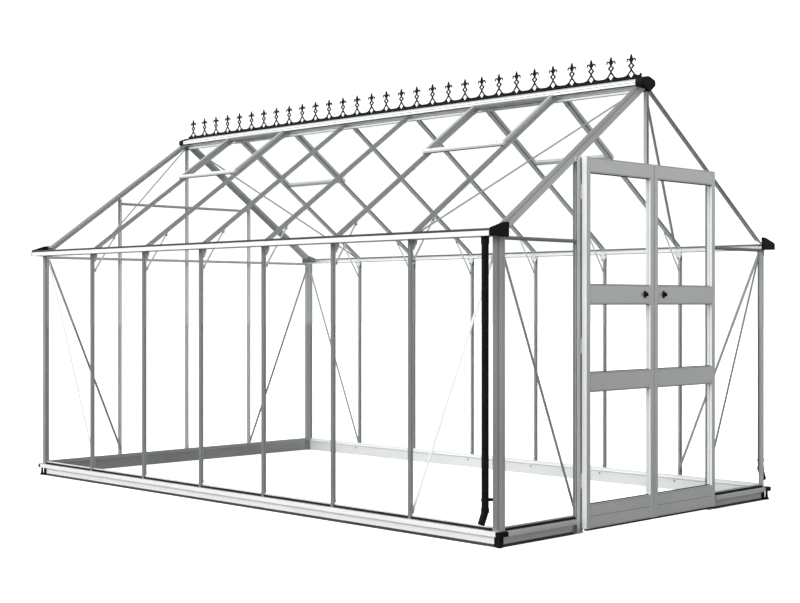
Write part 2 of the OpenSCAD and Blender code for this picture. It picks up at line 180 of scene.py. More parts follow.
def inset(p, d):
    """Outline moved inwards by d (for a counter-clockwise outline)."""
    out = []
    n = len(p)
    for i in range(n):
        a, b, c = Vector(p[i - 1]), Vector(p[i]), Vector(p[(i + 1) % n])
        e1, e2 = (b - a), (c - b)
        if e1.length < 1e-6 or e2.length < 1e-6:
            out.append((b.x, b.y))
            continue
        e1.normalize(); e2.normalize()
        n1, n2 = Vector((-e1.y, e1.x)), Vector((-e2.y, e2.x))
        k = 1 + n1.dot(n2)
        q = b + (n1 + n2) * (d / max(k, 0.35))
        out.append((q.x, q.y))
    return out


def rounded(p, r, seg=3, which=None):
    """Outline with its corners rounded; r is one radius or a list."""
    out = []
    n = len(p)
    for i in range(n):
        rr = r[i] if isinstance(r, (list, tuple)) else r
        a, b, c = Vector(p[i - 1]), Vector(p[i]), Vector(p[(i + 1) % n])
        u, w = (a - b), (c - b)
        lu, lw = u.length, w.length
        if rr <= 0 or lu < 1e-6 or lw < 1e-6:
            out.append((b.x, b.y))
            continue
        d = min(rr, lu * 0.45, lw * 0.45)
        p0, p1 = b + u / lu * d, b + w / lw * d
        for k in range(seg + 1):
            t = k / seg
            q = p0 * (1 - t) ** 2 + b * 2 * t * (1 - t) + p1 * t ** 2
            out.append((q.x, q.y))
    return out


def grooves(a, b, cuts, side=1):
    """Points from a to b with shallow grooves: cuts = [(pos, width, depth)]."""
    A, B = Vector(a), Vector(b)
    e = (B - A).normalized()
    nrm = Vector((-e.y, e.x)) * side
    out = [a]
    for pos, w, d in cuts:
        for s, dd in ((pos - w / 2, 0), (pos - w / 2 + d * 0.25, d), (pos + w / 2 - d * 0.25, d), (pos + w / 2, 0)):
            q = A + e * s + nrm * dd
            out.append((q.x, q.y))
    out.append(b)
    return out


def plate(pc, outline, t0, t1, place, mat, rim=None, bevel=0.0, holes=(), seg_mat=None, cap=None):
    """Outline pushed from t0 to t1, with its rims chamfered by bevel."""
    rim = rim or mat
    cap = cap or mat
    loops = [ccw(outline)] + [list(reversed(ccw(h))) for h in holes]
    if t1 < t0:
        t0, t1 = t1, t0
    if bevel > 0:
        levels = [(t0, bevel), (t0 + bevel, 0), (t1 - bevel, 0), (t1, bevel)]
    else:
        levels = [(t0, 0), (t1, 0)]
    rings = []
    for t, d in levels:
        rr = []
        for lp in loops:
            pts = inset(lp, d) if d else lp
            rr.append(([pc.add(place(p[0], p[1], t)) for p in pts], pts))
        rings.append(rr)
    for li, lp in enumerate(loops):
        n = len(lp)
        per = [0.0]
        for i in range(n):
            per.append(per[-1] + math.dist(lp[i], lp[(i + 1) % n]))
        for k in range(len(levels) - 1):
            ta, tb = levels[k][0], levels[k + 1][0]
            r0, r1 = rings[k][li][0], rings[k + 1][li][0]
            for i in range(n):
                j = (i + 1) % n
                m = rim
                if seg_mat and li == 0:
                    m = seg_mat(lp[i], lp[j]) or rim
                pc.face((r0[i], r0[j], r1[j], r1[i]), m,
                        ((ta, per[i]), (ta, per[i + 1]), (tb, per[i + 1]), (tb, per[i])))
    for k in (0, len(levels) - 1):
        allp, alli = [], []
        for idx, pts in rings[k]:
            allp.append([Vector((p[0], p[1], 0)) for p in pts])
            alli += idx
        flat = [p for l in allp for p in l]
        if len(allp) == 1 and is_convex(rings[k][0][1]):
            idx = alli if k == 0 else list(reversed(alli))
            pts = rings[k][0][1] if k == 0 else list(reversed(rings[k][0][1]))
            pc.face(idx, cap, [(p[0], p[1]) for p in pts])
            continue
        for tri in tessellate_polygon(allp):
            a, b, c = tri
            if (flat[b] - flat[a]).cross(flat[c] - flat[a]).length < 1e-9:
                pass
            pc.face((alli[a], alli[b], alli[c]), cap,
                    [(flat[q].x, flat[q].y) for q in (a, b, c)])


def is_convex(p):
    n = len(p)
    for i in range(n):
        a, b, c = p[i - 1], p[i], p[(i + 1) % n]
        if (b[0] - a[0]) * (c[1] - b[1]) - (b[1] - a[1]) * (c[0] - b[0]) < 1e-9:
            return False
    return True


def lathe(pc, prof, org, axis, mat, n=20, sx=1.0, sy=1.0, mats=None):
    """prof = [(radius, height)] about an axis; closed at both ends."""
    ax = Vector(axis).normalized()
    ref = Vector((0, 0, 1)) if abs(ax.z) < 0.9 else Vector((1, 0, 0))
    e1 = ax.cross(ref).normalized()
    e2 = ax.cross(e1).normalized()
    o = Vector(org)
    rings = []
    for r, h in prof:
        rings.append([pc.add(o + ax * h + e1 * (r * sx * math.cos(2 * math.pi * i / n)) + e2 * (r * sy * math.sin(2 * math.pi * i / n))) for i in range(n)])
    ln = 0
    for k in range(len(prof) - 1):
        l2 = ln + math.dist(prof[k], prof[k + 1])
        for i in range(n):
            j = (i + 1) % n
            v0, v1 = i * 6.28 * 10 / n, (i + 1) * 6.28 * 10 / n
            pc.face((rings[k][i], rings[k][j], rings[k + 1][j], rings[k + 1][i]), (mats[k] if mats else mat),
                    ((ln, v0), (ln, v1), (l2, v1), (l2, v0)))
        ln = l2
    for k, rev in ((0, True), (len(prof) - 1, False)):
        idx = rings[k][::-1] if rev else rings[k]
        pc.face(idx, mat, [(math.cos(i) * 5, math.sin(i) * 5) for i in range(n)])


def tube(pc, path, r, mat, n=24, wall_t=0.0):
    """Round tube along a path; with wall_t the far end is open and hollow."""
    pts = [Vector(p) for p in path]
    frames = []
    for i, p in enumerate(pts):
        d = (pts[min(i + 1, len(pts) - 1)] - pts[max(i - 1, 0)]).normalized()
        e1 = d.cross(Vector((0, 1, 0))).normalized()
        e2 = d.cross(e1).normalized()
        frames.append((p, e1, e2, d))

    def ring(fr, rad):
        p, e1, e2, d = fr
        return [pc.add(p + e1 * rad * math.cos(2 * math.pi * i / n) + e2 * rad * math.sin(2 * math.pi * i / n)) for i in range(n)]

    rings = [ring(f, r) for f in frames]
    if wall_t:
        p, e1, e2, d = frames[-1]
        rings.append(ring((p, e1, e2, d), r - wall_t))
        rings.append(ring((p - d * 60, e1, e2, d), r - wall_t))
    ln = 0
    for k in range(len(rings) - 1):
        l2 = ln + 30
        for i in range(n):
            j = (i + 1) % n
            v0, v1 = i * 6.28 * r / n, (i + 1) * 6.28 * r / n
            pc.face((rings[k][i], rings[k][j], rings[k + 1][j], rings[k + 1][i]), mat,
                    ((ln, v0), (ln, v1), (l2, v1), (l2, v0)))
        ln = l2
    for rr in (rings[0], rings[-1]):
        pc.face(rr, mat, [(math.cos(i) * 5, math.sin(i) * 5) for i in range(n)])


def bolt(pc, org, axis, r=5.5, h=4.0, mat="steel"):
    """Dome nut: washer, hexagon and rounded end."""
    lathe(pc, [(r * 1.45, 0), (r * 1.45, 0.9), (r * 1.3, 1.1)], org, axis, mat, 16)
    o = Vector(org) + Vector(axis).normalized() * 1.0
    lathe(pc, [(r, 0), (r, h * 0.6), (r * 0.86, h * 0.75), (r * 0.5, h), (r * 0.2, h * 1.08)], o, axis, mat, 6)


# ---------------------------------------------------------------- materials
MAT = {}


def new_mat(name):
    m = bpy.data.materials.new(name)
    m.use_nodes = True
    nt = m.node_tree
    return m, nt, nt.nodes["Principled BSDF"], nt.nodes, nt.links


def math_node(nt, op, a, b=None, c=None):
    n = nt.nodes.new("ShaderNodeMath")
    n.operation = op
    for i, x in enumerate((a, b, c)):
        if x is None:
            continue
        if isinstance(x, (int, float)):
            n.inputs[i].default_value = x
        else:
            nt.links.new(x, n.inputs[i])
    return n.outputs[0]


def metal(name, lo, hi, rough, metallic=0.85, streak=0.10, bump=0.12, spec=0.5, aniso=0.0):
    """Drawn aluminium: streaks along the piece, cloudy tone, fine grain."""
    m, nt, bs, N, L = new_mat(name)
    uv = N.new("ShaderNodeUVMap"); uv.uv_map = "UVMap"
    mp = N.new("ShaderNodeMapping"); mp.inputs["Scale"].default_value = (1.6, 420, 1)
    L.new(uv.outputs[0], mp.inputs[0])
    st = N.new("ShaderNodeTexNoise"); st.inputs["Scale"].default_value = 1.0
    st.inputs["Detail"].default_value = 5
    L.new(mp.outputs[0], st.inputs["Vector"])
    tc = N.new("ShaderNodeTexCoord")
    cl = N.new("ShaderNodeTexNoise"); cl.inputs["Scale"].default_value = 2.6
    cl.inputs["Detail"].default_value = 4
    L.new(tc.outputs["Object"], cl.inputs["Vector"])
    gr = N.new("ShaderNodeTexNoise"); gr.inputs["Scale"].default_value = 900
    gr.inputs["Detail"].default_value = 2
    L.new(tc.outputs["Object"], gr.inputs["Vector"])
    v = math_node(nt, "MULTIPLY", math_node(nt, "SUBTRACT", st.outputs[0], 0.5), streak * 6)
    v = math_node(nt, "ADD", v, math_node(nt, "MULTIPLY", math_node(nt, "SUBTRACT", cl.outputs[0], 0.5), 1.1))
    v = math_node(nt, "ADD", v, 0.5)
    ramp = N.new("ShaderNodeValToRGB")
    ramp.color_ramp.elements[0].position = 0.1
    ramp.color_ramp.elements[1].position = 0.9
    ramp.color_ramp.elements[0].color = (*lo, 1)
    ramp.color_ramp.elements[1].color = (*hi, 1)
    L.new(v, ramp.inputs[0])
    L.new(ramp.outputs[0], bs.inputs["Base Color"])
    r = math_node(nt, "ADD", math_node(nt, "MULTIPLY", v, 0.14), rough - 0.07)
    L.new(r, bs.inputs["Roughness"])
    bs.inputs["Metallic"].default_value = metallic
    bs.inputs["Specular IOR Level"].default_value = spec
    h = math_node(nt, "ADD", math_node(nt, "MULTIPLY", st.outputs[0], 0.7), math_node(nt, "MULTIPLY", gr.outputs[0], 0.3))
    bp = N.new("ShaderNodeBump"); bp.inputs["Strength"].default_value = bump
    bp.inputs["Distance"].default_value = 0.0006
    L.new(h, bp.inputs["Height"])
    L.new(bp.outputs[0], bs.inputs["Normal"])
    MAT[name] = m


def plastic(name, lo, hi, rough, grain=700, bump=0.12, spec=0.35):
    m, nt, bs, N, L = new_mat(name)
    tc = N.new("ShaderNodeTexCoord")
    a = N.new("ShaderNodeTexNoise"); a.inputs["Scale"].default_value = 14
    a.inputs["Detail"].default_value = 5
    g = N.new("ShaderNodeTexNoise"); g.inputs["Scale"].default_value = grain
    g.inputs["Detail"].default_value = 2
    L.new(tc.outputs["Object"], a.inputs["Vector"])
    L.new(tc.outputs["Object"], g.inputs["Vector"])
    ramp = N.new("ShaderNodeValToRGB")
    ramp.color_ramp.elements[0].position = 0.3
    ramp.color_ramp.elements[1].position = 0.72
    ramp.color_ramp.elements[0].color = (*lo, 1)
    ramp.color_ramp.elements[1].color = (*hi, 1)
    L.new(a.outputs[0], ramp.inputs[0])
    L.new(ramp.outputs[0], bs.inputs["Base Color"])
    L.new(math_node(nt, "ADD", math_node(nt, "MULTIPLY", a.outputs[0], 0.16), rough - 0.08), bs.inputs["Roughness"])
    bs.inputs["Specular IOR Level"].default_value = spec
    bp = N.new("ShaderNodeBump"); bp.inputs["Strength"].default_value = bump
    bp.inputs["Distance"].default_value = 0.0004
    L.new(g.outputs[0], bp.inputs["Height"])
    L.new(bp.outputs[0], bs.inputs["Normal"])
    MAT[name] = m


def glass(name):
    m, nt, bs, N, L = new_mat(name)
    out = N["Material Output"]
    N.remove(bs)
    tr = N.new("ShaderNodeBsdfTransparent")
    gl = N.new("ShaderNodeBsdfGlossy")
    gl.inputs["Color"].default_value = (0.95, 0.97, 0.97, 1)
    tc = N.new("ShaderNodeTexCoord")
    w = N.new("ShaderNodeTexNoise"); w.inputs["Scale"].default_value = 3.0
    w.inputs["Detail"].default_value = 3
    L.new(tc.outputs["Object"], w.inputs["Vector"])
    ramp = N.new("ShaderNodeValToRGB")
    ramp.color_ramp.elements[0].color = (0.990, 0.997, 0.995, 1)
    ramp.color_ramp.elements[1].color = (0.995, 0.999, 0.998, 1)
    L.new(w.outputs[0], ramp.inputs[0])
    L.new(ramp.outputs[0], tr.inputs[0])
    L.new(math_node(nt, "ADD", math_node(nt, "MULTIPLY", w.outputs[0], 0.03), 0.01), gl.inputs["Roughness"])
    bp = N.new("ShaderNodeBump"); bp.inputs["Strength"].default_value = 0.02
    bp.inputs["Distance"].default_value = 0.002
    L.new(w.outputs[0], bp.inputs["Height"])
    L.new(bp.outputs[0], gl.inputs["Normal"])
    fr = N.new("ShaderNodeFresnel"); fr.inputs["IOR"].default_value = 1.35
    f = math_node(nt, "MULTIPLY", fr.outputs[0], 0.10)
    mx = N.new("ShaderNodeMixShader")
    L.new(f, mx.inputs[0]); L.new(tr.outputs[0], mx.inputs[1]); L.new(gl.outputs[0], mx.inputs[2])
    L.new(mx.outputs[0], out.inputs["Surface"])
    MAT[name] = m


metal("aluminium", (0.60, 0.615, 0.612), (0.72, 0.735, 0.732), 0.42, metallic=0.55)
# darker copy of aluminium for the bars' outer cap faces: painted shade
metal("cap", (0.21, 0.217, 0.216), (0.28, 0.288, 0.287), 0.45, metallic=0.55)
metal("alu_mid", (0.38, 0.393, 0.390), (0.50, 0.513, 0.510), 0.40, metallic=0.6)
# lit copy of aluminium, paler and less metallic: painted highlight for faces turned towards the key light
metal("alu_light", (0.86, 0.868, 0.867), (0.94, 0.948, 0.947), 0.40, metallic=0.35)
# near-black copy of aluminium: painted shade in recesses, under lips and on rolled edges
metal("alu_painted_shade", (0.05, 0.052, 0.052), (0.09, 0.093, 0.093), 0.5, metallic=0.4)
# darker copy of aluminium: painted shade in the grooves of posts and rafters and on the door jambs' side faces
metal("alu_painted_soft_shade", (0.20, 0.206, 0.205), (0.27, 0.277, 0.276), 0.45, metallic=0.5)
metal("door_alu", (0.68, 0.700, 0.696), (0.78, 0.800, 0.796), 0.40, metallic=0.6)
metal("strip", (0.34, 0.35, 0.348), (0.44, 0.452, 0.45), 0.45, metallic=0.6)
metal("steel", (0.34, 0.34, 0.34), (0.50, 0.50, 0.49), 0.35, streak=0.04, metallic=0.7)
plastic("black", (0.0035, 0.0035, 0.0038), (0.008, 0.008, 0.009), 0.48, spec=0.12)
plastic("rubber", (0.008, 0.008, 0.008), (0.018, 0.018, 0.018), 0.72, grain=400, spec=0.2)
plastic("seal", (0.24, 0.248, 0.247), (0.32, 0.328, 0.327), 0.65, grain=300, spec=0.2)
plastic("nylon", (0.62, 0.64, 0.64), (0.74, 0.76, 0.76), 0.5)
plastic("edge", (0.36, 0.46, 0.43), (0.50, 0.60, 0.57), 0.25, grain=120)
glass("glass")

# ---------------------------------------------------------------- base rails
B = BASE


def seg_base(p, q):
    # painted shade: the lower walls of the grooves and the underside of the lip get the dark copy of aluminium
    if abs(p[0] - q[0]) > 0.2 and p[0] < 13 and q[0] < 13 and min(p[1], q[1]) < B - 1 and max(p[1], q[1]) < B - 2:
        return "alu_painted_shade"
    return None


def base_rail(pc, place, t_web, t_top, t_sill, mat):
    web = [(14, 3), (-3.2, 3), (-4, 2.2), (-4, 0), (17, 0), (17, B - 1.5), (14, B - 1.5)]
    web = web + grooves((14, B - 6), (14, 12), [(22, 2.4, 1.0), (36, 2.4, 1.0)], 1) + [(14, 5)]
    # painted shade: the web below 12 mm and the bottom flange get the dark copy of aluminium
    plate(pc, web, t_web[0], t_web[1], place, mat,
          seg_mat=lambda p, q: "alu_painted_shade" if (max(p[1], q[1]) < 12.2 and p[0] < 14.5 and q[0] < 14.5) else None)
    top = [(32, B), (32, B - 3), (-15.5, B - 3), (-17, B - 4.5), (-17, B - 23), (-17.6, B - 25)]
    top += [(-19.4, B - 25), (-20, B - 24.2)]
    top += [(-20, B - 20.5), (-19, B - 19.9), (-19, B - 18.1), (-20, B - 17.5)]
    top += [(-20, B - 7.5), (-19, B - 6.9), (-19, B - 5.3), (-20, B - 4.7), (-20, B - 1), (-19, B)]
    plate(pc, top, t_top[0], t_top[1], place, mat)
    sill = [(14, B - 1.2), (14, SILL - 0.8), (14.8, SILL), (16.2, SILL), (17, SILL - 0.8), (17, B - 1.2)]
    plate(pc, sill, t_sill[0], t_sill[1], place, mat)


def glazing_foot(pc, place, t0, t1):
    # dark rubber seal that carries the foot of the glass; its dark band along the sill also stands in for the shade of
    # the sill's recess (painted shade)
    plate(pc, [(2.6, BASE + 0.2), (13.8, BASE + 0.2), (13.8, BASE + 12), (7.4, BASE + 12), (7.4, BASE + 5.7), (3.8, BASE + 5.7), (3.8, BASE + 11), (2.6, BASE + 11)],
          t0, t1, place, "rubber")


for sx, nm in ((-1, "left"), (1, "right")):
    pc = Piece("Base_rail_" + nm)
    # side rails in the lit copy of aluminium: painted highlight
    base_rail(pc, wall(sx), (YF + 41.3, YR - 41.3), (YF + 10, YR - 10), (YF + 50, YR - 50), "alu_light")
    edges = [YF + 50] + BARS + [YR - 50]
    for i in range(7):
        glazing_foot(pc, wall(sx), edges[i] + (12 if i else 0), edges[i + 1] - (12 if i < 6 else 0))
    for y in BARS:
        bolt(pc, (sx * (HW - 17), y + 40, BASE - 22), (-sx, 0, 0), 5, 4)
    pc.build("frame", ["base_" + nm])

x1 = -DX - 33 - 13
pc = Piece("Base_rail_front")
for m in (1, -1):
    pl = (lambda m: lambda b, z, t: (m * t, YF + b, z))(m)
    base_rail(pc, pl, (-HW + 49, x1), (-HW + 49, x1), (-HW + 50, x1), "door_alu")
    glazing_foot(pc, pl, -HW + 52, x1 + 8)
pc.build("frame", ["base_front"])
pc = Piece("Base_rail_rear")
base_rail(pc, rear, (-HW + 49, HW - 49), (-HW + 49, HW - 49), (-HW + 50, HW - 50), "alu_mid")
for a, b in ((-HW + 52, -PITCH - 12), (-PITCH + 12, -12), (12, PITCH - 12), (PITCH + 12, HW - 52)):
    glazing_foot(pc, rear, a, b)
pc.build("frame", ["base_rear"])

pc = Piece("Base_corners")
for sx in (-1, 1):
    for sy in (-1, 1):
        yc = YF if sy < 0 else YR

        def pl(a, b, z, sx=sx, sy=sy, yc=yc):
            return (sx * (HW - a), yc - sy * b, z)
        plate(pc, [(13, 13), (48.7, 13), (48.7, 26), (26, 26), (26, 41), (13, 41)], 0, B - 3.3, pl, "alu_mid")
        plate(pc, rounded([(-4, -4), (48.7, -4), (48.7, 14), (14, 14), (14, 41), (-4, 41)], [5, 1, 0, 0, 0, 1]), 0, 3, pl, "black", bevel=0.5)
        plate(pc, rounded([(9.5, 9.5), (44, 9.5), (44, 12.9), (12.9, 12.9), (12.9, 44), (9.5, 44)], [4, 1, 1, 0, 1, 1]), 0, B - 3.3, pl, "black", bevel=0.4)
        # rounded rib down the corner, flared at its foot
        prof = [(17, 0), (17, 2.5), (12.5, 8), (9, 18), (7.5, 34), (7.5, B - 9), (9, B - 4), (9, B - 3.4)]
        lathe(pc, prof, pl(2, 2, 0), (0, 0, 1), "black", 20)
        cov = rounded([(-20, -20), (48.7, -20), (48.7, 32), (32.3, 32), (32.3, 9.7), (-20, 9.7)], [9, 1, 1, 0, 0, 1], 4)
        plate(pc, cov, B - 3, B, pl, "black", bevel=0.6)
        lip = rounded([(-20, -20), (48.7, -20), (48.7, -17), (-17, -17), (-17, 9.7), (-20, 9.7)], [9, 0, 0, 6, 0, 0], 4)
        plate(pc, lip, B - 25, B - 2, pl, "black", bevel=0.4)
pc.build("frame", ["base_corners"])

# ---------------------------------------------------------------- posts, bars
pc = Piece("Corner_posts")
for sx in (-1, 1):
    for sy in (-1, 1):
        yc = YF if sy < 0 else YR

        def pl(a, b, z, sx=sx, sy=sy, yc=yc):
            return (sx * (HW - a), yc - sy * b, z)
        if sy < 0:
            ch = grooves((1, 39), (39, 1), [(6, 3, 1.4), (13, 2.4, 1.1), (24, 10, 2.0), (35, 2.4, 1.1), (48, 4, 1.6)], 1)
            prof = [(46, 0.8), (46, 23), (23, 46), (0.8, 46), (0, 45), (0, 40.2)] + ch + [(40.2, 0), (45, 0)]
        else:
            ch = grooves((0, 45), (0, 14), [(6, 2.4, 1.1), (22, 6, 1.4)], 1) + grooves((14, 0), (45, 0), [(9, 6, 1.4), (25, 2.4, 1.1)], 1)
            prof = [(46, 1), (46, 23), (23, 46), (1, 46)] + ch
        # painted shade: the bottoms of the chamfer's grooves get the darker copy of aluminium
        plate(pc, prof, BASE + 0.3, EAVE - 0.3, pl, "alu_mid",
              seg_mat=lambda p, q: "alu_painted_soft_shade" if (p[0] + p[1] > 40.6 and q[0] + q[1] > 40.6 and p[0] + p[1] < 45 and q[0] + q[1] < 45 and max(p[0], p[1]) < 40) else None)
pc.build("frame", ["corner_posts"])

TEE = [(1.9, -11), (0.7, -9), (0, -5), (0, 5), (0.7, 9), (1.9, 11), (3, 11), (3, 1.5), (19, 1.5), (21, 5.2), (27, 5.2),
       (27, 2.4), (23.6, 2.4), (23.6, -2.4), (27, -2.4), (27, -5.2), (21, -5.2), (19, -1.5), (3, -1.5), (3, -11)]
TEE_FOOT = [(1.9, -11), (0.7, -9), (0, -5), (0, 5), (0.7, 9), (1.9, 11), (3, 11), (3, 1.5), (13.5, 1.5), (13.5, -1.5), (3, -1.5), (3, -11)]
GASKET = [(2.9, 3), (2.9, 10.2), (3.9, 10.6), (3.95, 3)]


def tee_bar(pc, t0, t1, place, mat="aluminium", prof=None):
    # painted shade: the outer cap face of the plain bars gets the darker cap copy of aluminium
    plate(pc, prof or TEE, t0, t1, place, mat,
          seg_mat=lambda p, q: "cap" if mat == "aluminium" and max(p[0], q[0]) < 2.5 else None)


def gaskets(pc, t0, t1, place):
    for s in (1, -1):
        plate(pc, [(p[0], s * p[1]) for p in GASKET], t0, t1, place, "seal")


for sx, nm in ((-1, "left"), (1, "right")):
    pc = Piece("Wall_bars_" + nm)
    for y in BARS:
        pl = wall_up(sx, y)
        tee_bar(pc, BASE + 0.3, SILL + 0.3, pl, prof=TEE_FOOT)
        tee_bar(pc, SILL + 0.3, EAVE - 0.3, pl)
        gaskets(pc, BASE + 8, EAVE - 5, pl)
        # bracket and nut under the eaves beam, nut at the foot
        plate(pc, rounded([(y - 30, EAVE + 14), (y + 30, EAVE + 14), (y + 30, EAVE - 16), (y + 9, EAVE - 52), (y - 9, EAVE - 52), (y - 30, EAVE - 16)], 3),
              30.6, 33.6, lambda yy, z, t, sx=sx: (sx * (HW - t), yy, z), "nylon", bevel=0.6)
        for dy in (-20, 20):
            bolt(pc, (sx * (HW - 33.6), y + dy, EAVE - 6), (-sx, 0, 0), 4, 3)
        bolt(pc, (sx * (HW - 34), y, EAVE - 40), (-sx, 0, 0))
        bolt(pc, (sx * (HW - 27), y, SILL + 14), (-sx, 0, 0))
    pc.build("frame", ["wall_bars_" + nm])


def gable_tee(pc, x, z0, z1, rearside=False, prof=None):
    f = (lambda a, b, z: (x + b, YR - a, z)) if rearside else (lambda a, b, z: (x + b, YF + a, z))
    tee_bar(pc, z0, z1, f, prof=prof)


def gable_rail(pc, x0, x1, z, rearside=False):
    s = 10 / 11
    prof = [(p[0], p[1] * s) for p in TEE]
    f = (lambda a, b, t: (t, YR - a, z + b)) if rearside else (lambda a, b, t: (t, YF + a, z + b))
    tee_bar(pc, x0, x1, f, prof=prof)


pc = Piece("Gable_bars_front")
gable_tee(pc, 0, LTOP + 0.2, FOOT - 0.5)
for m in (1, -1):
    a, b = sorted((m * (-HW + 48), m * (-DX - 33.5)))
    gable_rail(pc, a, b, EAVE - 7)
pc.build("frame", ["gable_bars_front"])

z1, z2 = FOOT - 0.5, raf_under(PITCH + 11) - 1
pc = Piece("Gable_bars_rear")
for x, z in ((0, z1), (-PITCH, z2), (PITCH, z2)):
    gable_tee(pc, x, SILL + 0.3, z, True)
    gable_tee(pc, x, BASE + 0.3, SILL + 0.3, True, TEE_FOOT)
    bolt(pc, (x, YR - 27, SILL + 14), (0, -1, 0))
    bolt(pc, (x, YR - 27, EAVE - 34), (0, -1, 0))
pc.build("frame", ["gable_bars_rear"])
pc = Piece("Gable_rails_rear")
for m in (1, -1):
    for a, b, z in ((-HW + 48, -PITCH - 11, EAVE - 7), (-PITCH + 11, -11, EAVE - 7), (-PITCH + 12, -11, 1996)):
        a, b = sorted((m * a, m * b))
        gable_rail(pc, a, b, z, True)
pc.build("frame", ["gable_rails_rear"])

# ---------------------------------------------------------------- door frame
pc = Piece("Door_jambs")
for m in (1, -1):
    def pl(x, y, z, m=m):
        return (m * x, y, z)
    face = grooves((-DX - 33, YF - 4), (-DX, YF - 4), [(6, 2, 1.2), (14, 2, 1.2), (24, 2, 1.2)], 1)
    prof = face + [(-DX, YF - 3), (-DX + 18, YF - 3), (-DX + 18, YF + 0.5), (-DX, YF + 0.5), (-DX, YF + 25), (-DX - 33, YF + 25)]
    # painted shade: the jamb's two long side faces get the darker copy of aluminium
    plate(pc, prof, 0, LTOP - 25.3, pl, "door_alu",
          seg_mat=lambda p, q: "alu_painted_soft_shade" if abs(p[0] - q[0]) < 0.01 and abs(p[1] - q[1]) > 15 else None)
    # black draught strip on the stop
    plate(pc, rounded([(-DX + 5, YF - 8.6), (-DX + 13, YF - 8.6), (-DX + 13, YF - 3), (-DX + 5, YF - 3)], 1.5), 20, LTOP - 26, pl, "rubber")
pc.build("frame", ["door_jambs"])

pc = Piece("Door_header")
top = grooves((-4, LTOP - 1), (-4, LTOP - 24), [(5, 1.8, 1.0), (18, 1.8, 1.0)], 1)
prof = [(-3, LTOP)] + top + [(-3, LTOP - 25), (-0.3, LTOP - 25), (-0.3, LTOP)]
plate(pc, prof, -668, 668, front, "door_alu")
plate(pc, rounded([(-0.35, LTOP - 25), (25, LTOP - 25), (25, LTOP), (-0.35, LTOP)], 1.2), -540, 540, front, "door_alu")
plate(pc, rounded([(-8.6, LTOP - 22), (-4, LTOP - 22), (-4, LTOP - 12), (-8.6, LTOP - 12)], 1.5), -600, 600, front, "rubber")
for x in (-655, 655):
    bolt(pc, (x, YF - 4, LTOP - 12), (0, -1, 0), 4.5, 3)
pc.build("frame", ["door_header"])

# ---------------------------------------------------------------- gutters
for sx, nm in ((-1, "left"), (1, "right")):
    pc = Piece("Gutter_" + nm)
    e = EAVE
    bead = []
    for k in range(11):
        an = math.radians(-60 - k * 28)
        bead.append((-75.6 + 4.4 * math.cos(an), e + 34.4 + 4.4 * math.sin(an)))
    outer = [(-78.5, e), (-80, e + 1.5), (-80, e + 7), (-79.2, e + 7.5), (-79.2, e + 9), (-80, e + 9.5), (-80, e + 20),
             (-79.2, e + 20.5), (-79.2, e + 22), (-80, e + 22.5), (-80, e + 26), (-78.6, e + 26.4), (-78.6, e + 28),
             (-79.6, e + 30), (-80, e + 34), (-79, e + 37.6), (-76, e + 39), (-72.5, e + 37.6), (-71.2, e + 34), (-72.5, e + 31),
             (-76, e + 30.4), (-77, e + 27), (-77, e + 3), (30, e + 3), (30, e)]
    # painted shade on the rolled bead at the top of the outer lip; the rest of the gutter is the lit copy of aluminium
    # (painted highlight)
    seg_g = lambda p, q: "alu_painted_shade" if (p[0] < -70 and q[0] < -70 and min(p[1], q[1]) > EAVE + 25.9) else None
    yo = YF + 66
    short = outer[:-2] + [(-58, e + 3), (-58, e)]
    plate(pc, outer, YF, yo - 26, wall(sx), "alu_light", seg_mat=seg_g)
    plate(pc, short, yo - 26, yo + 26, wall(sx), "alu_light", seg_mat=seg_g)
    plate(pc, outer, yo + 26, YR, wall(sx), "alu_light", seg_mat=seg_g)
    # floor with the outlet over the downpipe, and the outlet's collar
    flat = lambda a, y, t, sx=sx: (sx * (HW - a), y, t)
    ring = lambda r, n=28: [(-34 + r * math.cos(2 * math.pi * k / n), yo + r * math.sin(2 * math.pi * k / n)) for k in range(n)]
    plate(pc, [(-58, yo - 26), (30, yo - 26), (30, yo + 26), (-58, yo + 26)], e, e + 3, flat, "alu_light", holes=[ring(16)])
    plate(pc, ring(20.5), e + 3, e + 4.8, flat, "black", bevel=0.5, holes=[ring(15.6)])
    pc.build("frame", ["gutter_" + nm])

# ---------------------------------------------------------------- end caps
pc = Piece("Roof_end_caps")
gut = [(-80, EAVE), (67, EAVE - 2), (67, EAVE + 76), (28, EAVE + 74), (-78, EAVE + 41)]
rdg = [(-12, FOOT), (12, FOOT), (60, RIDGE - 32), (62, RIDGE - 18), (58, RIDGE - 1), (0, RIDGE + 19), (-58, RIDGE - 1), (-62, RIDGE - 18), (-60, RIDGE - 32)]
for y0, out in ((YF - 12.3, -1), (YR + 0.3, 1)):
    for sx in (-1, 1):
        pl = wall(sx)
        full = rounded(ccw(gut), [5, 8, 8, 14, 7], 4)
        inner = inset(full, 3.2)
        if out < 0:
            plate(pc, full, y0 + 3, y0 + 12, pl, "black", bevel=0.8)
            plate(pc, inner, y0, y0 + 3.2, pl, "black", bevel=1.4)
        else:
            plate(pc, full, y0, y0 + 9, pl, "black", bevel=0.8)
            plate(pc, inner, y0 + 8.8, y0 + 12, pl, "black", bevel=1.4)
        bolt(pc, pl(40, EAVE + 40, y0 + (1 if out < 0 else 11)), (0, out, 0), 3.2, 0.8, "black")
    rp = lambda x, z, t: (x, t, z)
    full = rounded(ccw(rdg), [5, 5, 4, 4, 5, 9, 5, 4, 4], 4)
    skirt = inset(full, -2.6)
    ya, yb = (YF - 2, YF + 44) if out < 0 else (YR - 44, YR + 2)
    plate(pc, skirt, ya, yb, rp, "black", bevel=1.0)
    inner = inset(full, 4)
    if out < 0:
        plate(pc, full, y0 + 3, y0 + 12, rp, "black", bevel=0.8)
        plate(pc, inner, y0, y0 + 3.2, rp, "black", bevel=1.4)
    else:
        plate(pc, full, y0, y0 + 9, rp, "black", bevel=0.8)
        plate(pc, inner, y0 + 8.8, y0 + 12, rp, "black", bevel=1.4)
pc.build("frame", ["roof_end_caps"])

